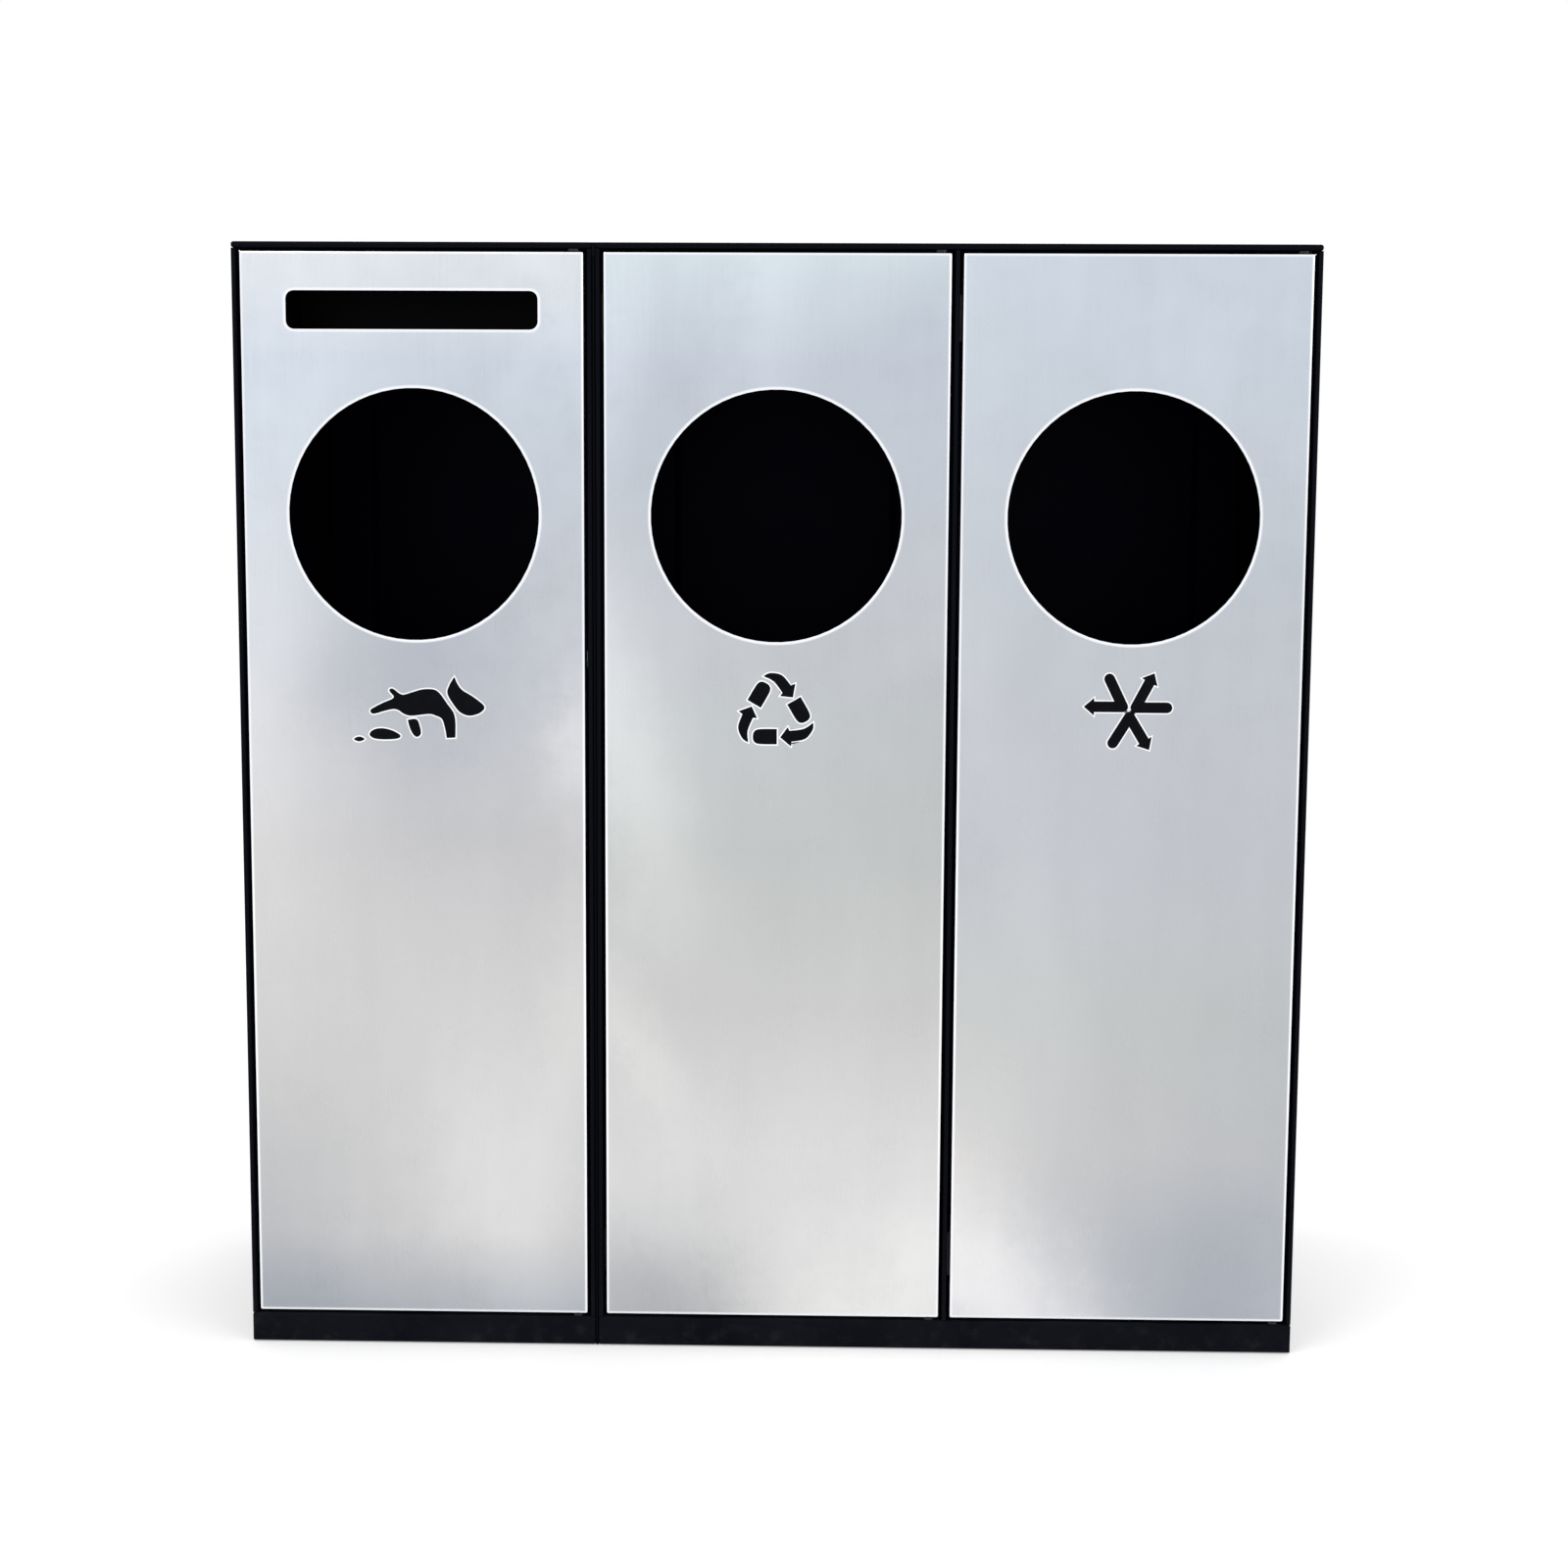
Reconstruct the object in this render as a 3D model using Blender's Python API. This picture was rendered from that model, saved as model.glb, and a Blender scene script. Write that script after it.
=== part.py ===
"""Street recycling station: two sheet-steel cabinets side by side with three inset doors.

A single-bay cabinet stands to the left of a double-bay one.  Every bay holds a galvanised
liner with a bail and is closed by a brushed stainless door, hung on two pivot pins at its
right-hand edge and held shut by two magnetic catches.

Axes: +X to the right, the doors face -Y, +Z up, origin on the ground under the centre.
All lengths are in metres.
"""
import math

import bmesh
import bpy
from mathutils import Matrix, Vector

MM = 0.001

# Driving dimensions --------------------------------------------------------------------
BAY_WIDTH = 350 * MM            # one bay, outside to outside of a single cabinet
CABINET_SPACING = 3 * MM        # shadow gap between the two cabinets
HEIGHT = 1100 * MM              # ground to roof
DEPTH = 450 * MM                # front edge to back flange

SHEET = 2 * MM                  # carcass sheet
BEND_INSIDE = 0.4 * MM          # inside radius of every fold
HEM_WIDTH = 5 * MM              # folded front edge of a side panel or partition
HEM_DEPTH = 14 * MM             # how far that fold runs back
ROOF_EDGE = 6 * MM              # height of the roof's folded rim
ROOF_LIP = 24 * MM              # rim turned in under the roof
FLANGE = 20 * MM                # turned-in flanges that join the panels
TAB_SETBACK = 40 * MM           # from a panel's front and back to its top and bottom tabs
PLINTH_HEIGHT = 30 * MM         # ground to floor of the bays
GROUND_GAP = 1.5 * MM           # skirt of the base above the ground
DRAIN_RADIUS = 8 * MM
DRAIN_FROM_EDGE = 90 * MM

SEAT = 0.3 * MM                 # clearance between pieces that rest on each other
RUNNING = 0.03 * MM             # radial clearance of a faceted pin turning in its bush

DOOR_GAP = 3 * MM               # visible gap round a door
DOOR_SETBACK = 1 * MM           # door face behind the cabinet's front edge
DOOR_DEPTH = 20 * MM            # face to the back of the door
DOOR_SHEET = 1.5 * MM
STILE = 25 * MM                 # width of the inner frame's members
MID_RAIL_BELOW_INLET = 60 * MM  # inlet's lower edge to the top of the middle rail
INLET_RADIUS = 122.5 * MM
INLET_BELOW_ROOF = 262 * MM     # roof to the centre of the round inlet
SLOT_HEIGHT = 37 * MM
SLOT_CORNER = 8 * MM
SLOT_BELOW_ROOF = 65 * MM       # roof to the centre of the slot

PIVOT_FROM_EDGE = 10 * MM       # pivot axis to the hinge-side edge of the door
PIVOT_BEHIND_FACE = 7 * MM      # pivot axis behind the door's face
PIN_RADIUS = 4 * MM
PIN_LENGTH = 20 * MM            # part of a pin inside its door
SHOULDER_RADIUS = 7 * MM
BUSH_HEIGHT = 16 * MM
BUSH_WIDTH = 18 * MM

CATCH_FROM_END = 60 * MM        # centre of a catch to the door's end
MAGNET_HEIGHT = 46 * MM
MAGNET_WIDTH = 21 * MM
MAGNET_DEPTH = 18 * MM
KEEPER_HEIGHT = 38 * MM
KEEPER_WIDTH = 15 * MM
KEEPER_THICKNESS = 1.5 * MM
KEEPER_FROM_EDGE = 5 * MM       # keeper to the latch-side edge of the door

LINER_TO_DOOR = 16 * MM         # rim to the back of the door
LINER_TO_BACK = 22 * MM         # rim to the back panel's pressed field
LINER_TO_SIDES = 14 * MM        # rim to either edge of the clear opening
LINER_BELOW_INLET = 35 * MM     # inlet's lower edge to the rim
LINER_TAPER = 9 * MM            # each wall leans out by this much
LINER_SHEET = 1.2 * MM
LINER_CORNER = 28 * MM
BEAD_DEPTH = 4 * MM             # pressed rings that stiffen the walls
BEAD_HEIGHT = 22 * MM
RIM_WIDTH = 8 * MM
EAR_WIDTH = 26 * MM
EAR_HEIGHT = 42 * MM
EAR_ABOVE_RIM = 12 * MM
EAR_SHEET = 2 * MM
BAIL_RADIUS = 3 * MM            # wire radius
BAIL_CORNER = 30 * MM
BAIL_ELBOW = 6 * MM             # bend beside an ear, to the wire's middle
BAIL_END = 6 * MM               # wire that stands out past an ear

TRAY_DEPTH = 78 * MM
TRAY_HEIGHT = 62 * MM
TRAY_OVERLAP = 8 * MM           # tray past each end of the slot
TRAY_MARGIN = 14 * MM           # tray floor below the slot

FOOT_RADIUS = 18 * MM
FOOT_PAD = 6 * MM
STUD_RADIUS = 5 * MM
NUT_RADIUS = 9 * MM
NUT_HEIGHT = 7 * MM
FOOT_FROM_SIDE = 38 * MM

FIELD_MARGIN = 45 * MM          # pressed field of a back panel to the bay's edges
FIELD_SLOPE = 5 * MM
FIELD_DEPTH = 4 * MM

LINK_RADIUS = 4 * MM
LINK_HEAD_RADIUS = 8 * MM
LINK_HEAD = 5 * MM
LINK_FROM_BACK = 60 * MM
LINK_FROM_END = 90 * MM         # roof or floor to a linking bolt

ROUND_SIDES = 64                # facets of the inlets
PIN_SIDES = 24                  # facets of a pivot pin and its bore
ROD_SIDES = 12                  # facets of feet, bolts and holes
BEND_STEPS = 2                  # facets of a fold
CORNER_STEPS = 3                # facets of a liner's corner
EDGE_EASING = 0.3 * MM          # bevel on the edges of small solid pieces

# Places that follow from them ----------------------------------------------------------
TOTAL_WIDTH = 3 * BAY_WIDTH + CABINET_SPACING
FRONT = -DEPTH / 2
BACK = DEPTH / 2
PANEL_BOTTOM = PLINTH_HEIGHT + SEAT
ROOF_UNDERSIDE = HEIGHT - ROOF_EDGE
PANEL_TOP = ROOF_UNDERSIDE - SEAT
BACK_PLATE = BACK - SHEET - SEAT            # rear face of the back panels
BAY_BACK = BACK_PLATE - SHEET               # front face of the back panels
DOOR_FACE = FRONT + DOOR_SETBACK
DOOR_BACK = DOOR_FACE + DOOR_DEPTH
DOOR_BOTTOM = PLINTH_HEIGHT + DOOR_GAP
DOOR_TOP = ROOF_UNDERSIDE - DOOR_GAP
PIVOT_Y = DOOR_FACE + PIVOT_BEHIND_FACE
INLET_Z = HEIGHT - INLET_BELOW_ROOF
SLOT_Z = HEIGHT - SLOT_BELOW_ROOF
LINER_RIM = INLET_Z - INLET_RADIUS - LINER_BELOW_INLET
LINER_FRONT = DOOR_BACK + LINER_TO_DOOR + RIM_WIDTH
LINER_REAR = BAY_BACK - FIELD_DEPTH - LINER_TO_BACK - RIM_WIDTH
LINER_LENGTH = LINER_REAR - LINER_FRONT     # walls, at the rim
LINER_WIDTH = BAY_WIDTH - 2 * (HEM_WIDTH + LINER_TO_SIDES + RIM_WIDTH)
LINER_Y = (LINER_FRONT + LINER_REAR) / 2


class Cabinet:
    """Left and right faces of one cabinet, and the clear door openings between them."""

    def __init__(self, name, left, bays):
        self.name = name
        self.left = left
        self.right = left + bays * BAY_WIDTH
        self.centre = (self.left + self.right) / 2
        inner_left = self.left + HEM_WIDTH
        inner_right = self.right - HEM_WIDTH
        if bays == 1:
            self.openings = [(inner_left, inner_right)]
        else:
            half_hem = HEM_WIDTH / 2
            self.openings = [(inner_left, self.centre - half_hem),
                             (self.centre + half_hem, inner_right)]


SINGLE = Cabinet("single", -TOTAL_WIDTH / 2, 1)
DOUBLE = Cabinet("double", SINGLE.right + CABINET_SPACING, 2)

# Materials -----------------------------------------------------------------------------
FINISHES = {
    "black_coat": ((0.012, 0.013, 0.016), 0.45, 0.0),
    "stainless": ((0.60, 0.62, 0.65), 0.32, 1.0),
    "dark_frame": ((0.02, 0.021, 0.024), 0.5, 0.0),
    "pin_steel": ((0.55, 0.55, 0.56), 0.3, 1.0),
    "nylon": ((0.05, 0.05, 0.05), 0.55, 0.0),
    "magnet_case": ((0.03, 0.03, 0.032), 0.5, 0.0),
    "galvanised": ((0.45, 0.47, 0.49), 0.42, 1.0),
    "rubber": ((0.015, 0.015, 0.015), 0.85, 0.0),
}


def finish(obj, look):
    """Give an object a Principled material of its own, named after it."""
    colour, roughness, metallic = FINISHES[look]
    material = bpy.data.materials.new(obj.name)
    material.use_nodes = True
    shader = material.node_tree.nodes["Principled BSDF"]
    shader.inputs["Base Color"].default_value = (*colour, 1)
    shader.inputs["Roughness"].default_value = roughness
    shader.inputs["Metallic"].default_value = metallic
    obj.data.materials.clear()
    obj.data.materials.append(material)
    return obj


# Building blocks -----------------------------------------------------------------------
def clear_scene():
    for obj in list(bpy.data.objects):
        bpy.data.objects.remove(obj)


def add_object(name, data, parent=None):
    """Link new data into the scene; under a parent it keeps its world coordinates."""
    obj = bpy.data.objects.new(name, data)
    bpy.context.scene.collection.objects.link(obj)
    if parent:
        obj.parent = parent
        obj.matrix_parent_inverse = parent.matrix_world.inverted()
    return obj


def object_from(name, mesh_builder, look, parent=None):
    """Turn a finished bmesh into an object with a material."""
    mesh = bpy.data.meshes.new(name)
    mesh_builder.to_mesh(mesh)
    mesh_builder.free()
    return finish(add_object(name, mesh, parent), look)


def pivot_empty(name, location):
    """An empty on a joint's axis, the parent of everything that turns about it."""
    empty = bpy.data.objects.new(name, None)
    bpy.context.scene.collection.objects.link(empty)
    empty.location = location
    empty.empty_display_size = 0.05
    bpy.context.view_layer.update()
    return empty


def smooth(obj):
    """Smooth shading with sharp edges kept above 35 degrees."""
    obj.data.shade_smooth()
    obj.data.set_sharp_from_angle(angle=math.radians(35))
    return obj


def fold_and_thicken(obj, thickness):
    """Round every fold of a single-surface sheet, then give it its gauge inwards."""
    folds = obj.modifiers.new("folds", "BEVEL")
    folds.width = thickness + BEND_INSIDE
    folds.segments = BEND_STEPS
    folds.limit_method = "ANGLE"
    folds.angle_limit = math.radians(40)
    gauge = obj.modifiers.new("gauge", "SOLIDIFY")
    gauge.thickness = thickness
    gauge.offset = -1
    gauge.use_even_offset = True
    gauge.use_quality_normals = True
    return obj


def cut(obj, *cutters):
    """Cut hidden wire-frame solids out of an object, all in one step."""
    tools = bpy.data.collections.new(obj.name + "_cutters")
    for cutter in cutters:
        cutter.hide_render = True
        cutter.display_type = "WIRE"
        tools.objects.link(cutter)
    hole = obj.modifiers.new("cut_" + cutters[0].name, "BOOLEAN")
    hole.operation = "DIFFERENCE"
    hole.solver = "EXACT"
    hole.operand_type = "COLLECTION"
    hole.collection = tools


def join_solid(obj, other):
    """Weld a hidden solid onto an object."""
    other.hide_render = True
    other.display_type = "WIRE"
    weld = obj.modifiers.new("weld_" + other.name, "BOOLEAN")
    weld.operation = "UNION"
    weld.solver = "EXACT"
    weld.object = other


def box_between(name, low, high, look, parent=None):
    """A block between two opposite corners."""
    builder = bmesh.new()
    low, high = Vector(low), Vector(high)
    bmesh.ops.create_cube(builder, size=1)
    for vertex in builder.verts:
        vertex.co = Vector(high[i] if vertex.co[i] > 0 else low[i] for i in range(3))
    return object_from(name, builder, look, parent)


def soften(obj, width):
    """A small bevel on the sharp edges of a solid."""
    edge = obj.modifiers.new("softened_edges", "BEVEL")
    edge.width = width
    edge.segments = 1
    edge.limit_method = "ANGLE"


def rod_between(name, start, end, radius, sides=ROD_SIDES, look="pin_steel", parent=None):
    """A straight rod from one point to another, its flats facing along the axes."""
    start, end = Vector(start), Vector(end)
    run = end - start
    builder = bmesh.new()
    bmesh.ops.create_cone(builder, cap_ends=True, segments=sides, radius1=radius,
                          radius2=radius, depth=run.length)
    turn = Vector((0, 0, 1)).rotation_difference(run.normalized()).to_matrix().to_4x4()
    turn = turn @ Matrix.Rotation(math.pi / sides, 4, "Z")
    turn.translation = (start + end) / 2
    bmesh.ops.transform(builder, matrix=turn, verts=builder.verts)
    return object_from(name, builder, look, parent)


def turned(name, profile, look, location, sides=ROD_SIDES):
    """A turned solid: (radius, height) pairs from its top to its bottom, spun about Z."""
    builder = bmesh.new()
    points = [builder.verts.new((radius, 0, height)) for radius, height in profile]
    for upper, lower in zip(points, points[1:]):
        builder.edges.new((upper, lower))
    obj = object_from(name, builder, look)
    obj.location = location
    spin = obj.modifiers.new("spin", "SCREW")
    spin.axis = "Z"
    spin.steps = sides
    spin.render_steps = sides
    spin.use_merge_vertices = True
    spin.merge_threshold = 0.00001
    spin.use_smooth_shade = True
    return obj


class Sheet:
    """One folded sheet, drawn as its outer surface: flat blank first, then its folds.

    The blank lies in a plane with coordinates (u, v) and an outward direction w.  `place`
    maps (u, v, w) to the world, with u, v and w right-handed.
    """

    def __init__(self, place, low, high, windows=(), pressings=()):
        self.place = place
        self.low = low
        self.high = high
        self.builder = bmesh.new()
        self.out = (Vector(place(0, 0, 1)) - Vector(place(0, 0, 0))).normalized()
        self.make_blank(windows, pressings)

    def make_blank(self, windows, pressings):
        """Lay the blank out as a grid whose lines run along every window and pressing."""
        cells = list(windows) + list(pressings)
        us = sorted({self.low[0], self.high[0], *(c[i][0] for c in cells for i in (0, 1))})
        vs = sorted({self.low[1], self.high[1], *(c[i][1] for c in cells for i in (0, 1))})
        grid = [[self.builder.verts.new(self.place(u, v, 0)) for v in vs] for u in us]
        self.pressed = []
        for i in range(len(us) - 1):
            for j in range(len(vs) - 1):
                middle = ((us[i] + us[i + 1]) / 2, (vs[j] + vs[j + 1]) / 2)
                if any(self.inside(middle, window) for window in windows):
                    continue
                face = self.builder.faces.new((grid[i][j], grid[i + 1][j],
                                               grid[i + 1][j + 1], grid[i][j + 1]))
                if any(self.inside(middle, cell) for cell in pressings):
                    self.pressed.append(face)
        loose = [vertex for vertex in self.builder.verts if not vertex.link_faces]
        bmesh.ops.delete(self.builder, geom=loose, context="VERTS")

    @staticmethod
    def inside(point, cell):
        (low_u, low_v), (high_u, high_v) = cell
        return low_u < point[0] < high_u and low_v < point[1] < high_v

    def open_edges(self, chosen=lambda start, end: True):
        """Free edges for which `chosen` holds, given the edge's two world points."""
        return [edge for edge in self.builder.edges
                if edge.is_boundary and chosen(edge.verts[0].co, edge.verts[1].co)]

    def fold(self, edges, move):
        """Extrude free edges into a flange; `move` gives each new vertex its place."""
        made = bmesh.ops.extrude_edge_only(self.builder, edges=edges)["geom"]
        for vertex in made:
            if isinstance(vertex, bmesh.types.BMVert):
                vertex.co = move(vertex.co)

    def press(self, slope, depth):
        """Sink the marked cells inwards, with sloping sides."""
        for face in self.pressed:
            bmesh.ops.inset_region(self.builder, faces=[face], thickness=slope)
            for vertex in face.verts:
                vertex.co -= self.out * depth

    def finished(self, name, look, gauge, parent=None):
        """The folded sheet as an object, its blank facing out."""
        return sheet_object(name, self.builder, self.out, look, gauge, parent)


def sheet_object(name, builder, outward, look, gauge, parent=None):
    """Face a surface outwards by its first face, round its folds and give it its gauge."""
    bmesh.ops.recalc_face_normals(builder, faces=builder.faces)
    builder.faces.ensure_lookup_table()
    if builder.faces[0].normal.dot(outward) < 0:
        bmesh.ops.reverse_faces(builder, faces=builder.faces)
    obj = object_from(name, builder, look, parent)
    return smooth(fold_and_thicken(obj, gauge))


def back_turned(sheet, distance):
    """A fold's move: straight back from the outer surface."""
    return lambda point: point - sheet.out * distance


# Carcass -------------------------------------------------------------------------------
def facing_up(level):
    """Placement of a level sheet whose outside faces up."""
    return lambda u, v, w: (u, v, level + w)


def facing_back(level):
    """Placement of an upright sheet whose outside faces +Y."""
    return lambda u, v, w: (-u, level + w, v)


def facing_front(level):
    """Placement of an upright sheet whose outside faces -Y."""
    return lambda u, v, w: (u, level - w, v)


def base(cabinet):
    """Floor of the bays with its skirt: an upside-down tray."""
    sheet = Sheet(facing_up(PLINTH_HEIGHT), (cabinet.left, FRONT), (cabinet.right, BACK))
    sheet.fold(sheet.open_edges(), back_turned(sheet, PLINTH_HEIGHT - GROUND_GAP))
    obj = sheet.finished(cabinet.name + "_base", "black_coat", SHEET)
    for left, right in cabinet.openings:
        pivot_x = right - DOOR_GAP - PIVOT_FROM_EDGE
        drill(obj, (pivot_x, PIVOT_Y, PLINTH_HEIGHT), PIN_RADIUS + SEAT)
        for end in (left + DRAIN_FROM_EDGE, right - DRAIN_FROM_EDGE):
            drill(obj, (end, BACK - DRAIN_FROM_EDGE, PLINTH_HEIGHT), DRAIN_RADIUS)
    return obj


def drill(obj, centre, radius, depth=2 * SHEET, along=(0, 0, 1)):
    """A round hole through the sheet at a point of its outer surface."""
    centre, along = Vector(centre), Vector(along)
    name = f"{obj.name}_hole_{len(obj.modifiers)}"
    cut(obj, rod_between(name, centre - along * depth, centre + along * SHEET, radius))


def roof(cabinet):
    """Flat roof with a rim folded down and in, which rests on the panels."""
    sheet = Sheet(facing_up(HEIGHT), (cabinet.left, FRONT), (cabinet.right, BACK))
    sheet.fold(sheet.open_edges(), back_turned(sheet, ROOF_EDGE))
    low = Vector((cabinet.left + ROOF_LIP, FRONT + ROOF_LIP))
    high = Vector((cabinet.right - ROOF_LIP, BACK - ROOF_LIP))
    sheet.fold(sheet.open_edges(), lambda point: Vector((
        min(max(point.x, low.x), high.x), min(max(point.y, low.y), high.y), point.z)))
    obj = sheet.finished(cabinet.name + "_roof", "black_coat", SHEET)
    for _, right in cabinet.openings:
        pivot_x = right - DOOR_GAP - PIVOT_FROM_EDGE
        drill(obj, (pivot_x, PIVOT_Y, ROOF_UNDERSIDE + SHEET), PIN_RADIUS + SEAT)
    return obj


def side_panel(name, outside, inward, length):
    """Upright panel: web, hemmed front edge, rear flange, and tabs top and bottom.

    `outside` is the X of the web's outer face, `inward` the sign of X towards the bay.
    """
    fold_line = [(0, TAB_SETBACK), (0, length - TAB_SETBACK), (0, length), (FLANGE, length)]
    hem_line = [(0, TAB_SETBACK), (0, 0), (HEM_WIDTH, 0), (HEM_WIDTH, HEM_DEPTH)]
    builder = bmesh.new()

    def upright_strips(line, first_pair=None):
        pairs = [first_pair] if first_pair else []
        for inset, run in line[len(pairs):]:
            pairs.append([builder.verts.new((outside + inward * inset, FRONT + run, z))
                          for z in (PANEL_BOTTOM, PANEL_TOP)])
        for near, far in zip(pairs, pairs[1:]):
            builder.faces.new((near[0], far[0], far[1], near[1]))
        return pairs

    web = upright_strips(fold_line)
    upright_strips(hem_line, first_pair=web[0])
    for end in (0, 1):
        near, far = web[0][end], web[1][end]
        shift = Vector((inward * FLANGE, 0, 0))
        builder.faces.new((near, far, builder.verts.new(far.co + shift),
                           builder.verts.new(near.co + shift)))
    return sheet_object(name, builder, Vector((-inward, 0, 0)), "black_coat", SHEET)


def back_panel(cabinet):
    """Rear panel inside the side flanges: one pressed field per bay, flanges at both ends."""
    low = (-(cabinet.right - SHEET - SEAT), PANEL_BOTTOM)
    high = (-(cabinet.left + SHEET + SEAT), PANEL_TOP)
    fields = [((-(right - FIELD_MARGIN), PANEL_BOTTOM + FIELD_MARGIN),
               (-(left + FIELD_MARGIN), PANEL_TOP - FIELD_MARGIN))
              for left, right in cabinet.openings]
    sheet = Sheet(facing_back(BACK_PLATE), low, high, pressings=fields)
    sheet.press(FIELD_SLOPE, FIELD_DEPTH)
    sheet.fold(sheet.open_edges(is_level), back_turned(sheet, FLANGE))
    obj = sheet.finished(cabinet.name + "_back", "black_coat", SHEET)
    for web, _ in cabinet.openings[1:]:
        clear_partition(obj, web - FLANGE - SEAT, web + SEAT)
    return obj


def clear_partition(obj, left, right):
    """Notch the rear panel's flanges where a partition meets it."""
    cut(obj, box_between(obj.name + "_notch",
                         (left, BAY_BACK - 2 * FLANGE, PANEL_BOTTOM - SHEET),
                         (right, BAY_BACK - SEAT / 2, PANEL_TOP + SHEET), "black_coat"))


def is_level(start, end):
    return abs(start.z - end.z) < SEAT


def carcass(cabinet):
    """The fixed panels of one cabinet."""
    base(cabinet)
    roof(cabinet)
    back_panel(cabinet)
    side_panel(cabinet.name + "_side_left", cabinet.left, 1, DEPTH)
    side_panel(cabinet.name + "_side_right", cabinet.right, -1, DEPTH)
    feet(cabinet)


def feet(cabinet):
    """Four levelling feet: rubber-faced pad, stud and nut under the floor."""
    top = PLINTH_HEIGHT - SHEET - SEAT
    profile = [(0, top), (NUT_RADIUS, top), (NUT_RADIUS, top - NUT_HEIGHT),
               (STUD_RADIUS, top - NUT_HEIGHT), (STUD_RADIUS, FOOT_PAD),
               (FOOT_RADIUS, FOOT_PAD), (FOOT_RADIUS, 0), (0, 0)]
    places = {"front_left": (cabinet.left + FOOT_FROM_SIDE, FRONT + FOOT_FROM_SIDE),
              "front_right": (cabinet.right - FOOT_FROM_SIDE, FRONT + FOOT_FROM_SIDE),
              "rear_left": (cabinet.left + FOOT_FROM_SIDE, BACK - FOOT_FROM_SIDE),
              "rear_right": (cabinet.right - FOOT_FROM_SIDE, BACK - FOOT_FROM_SIDE)}
    for place, (x, y) in places.items():
        turned(f"{cabinet.name}_foot_{place}", profile, "rubber", (x, y, 0))


def link_bolts(left_side, right_side):
    """Two bolts, each with its spacer and nut, that tie the cabinets together."""
    half_gap = CABINET_SPACING / 2
    grip = half_gap + SHEET + SEAT
    profile = [(0, grip + LINK_HEAD), (LINK_HEAD_RADIUS, grip + LINK_HEAD),
               (LINK_HEAD_RADIUS, grip), (LINK_RADIUS, grip),
               (LINK_RADIUS, half_gap - SEAT), (LINK_HEAD_RADIUS, half_gap - SEAT),
               (LINK_HEAD_RADIUS, SEAT - half_gap), (LINK_RADIUS, SEAT - half_gap),
               (LINK_RADIUS, -grip), (LINK_HEAD_RADIUS, -grip),
               (LINK_HEAD_RADIUS, -grip - LINK_HEAD), (0, -grip - LINK_HEAD)]
    middle = (SINGLE.right + DOUBLE.left) / 2
    heights = {"upper": PANEL_TOP - LINK_FROM_END, "lower": PANEL_BOTTOM + LINK_FROM_END}
    for place, height in heights.items():
        centre = (middle, BACK - LINK_FROM_BACK, height)
        bolt = turned("link_bolt_" + place, profile, "pin_steel", centre)
        bolt.rotation_euler.y = math.radians(90)
        drill(left_side, (SINGLE.right, *centre[1:]), LINK_RADIUS + SEAT, along=(1, 0, 0))
        drill(right_side, (DOUBLE.left, *centre[1:]), LINK_RADIUS + SEAT, along=(-1, 0, 0))


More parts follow.
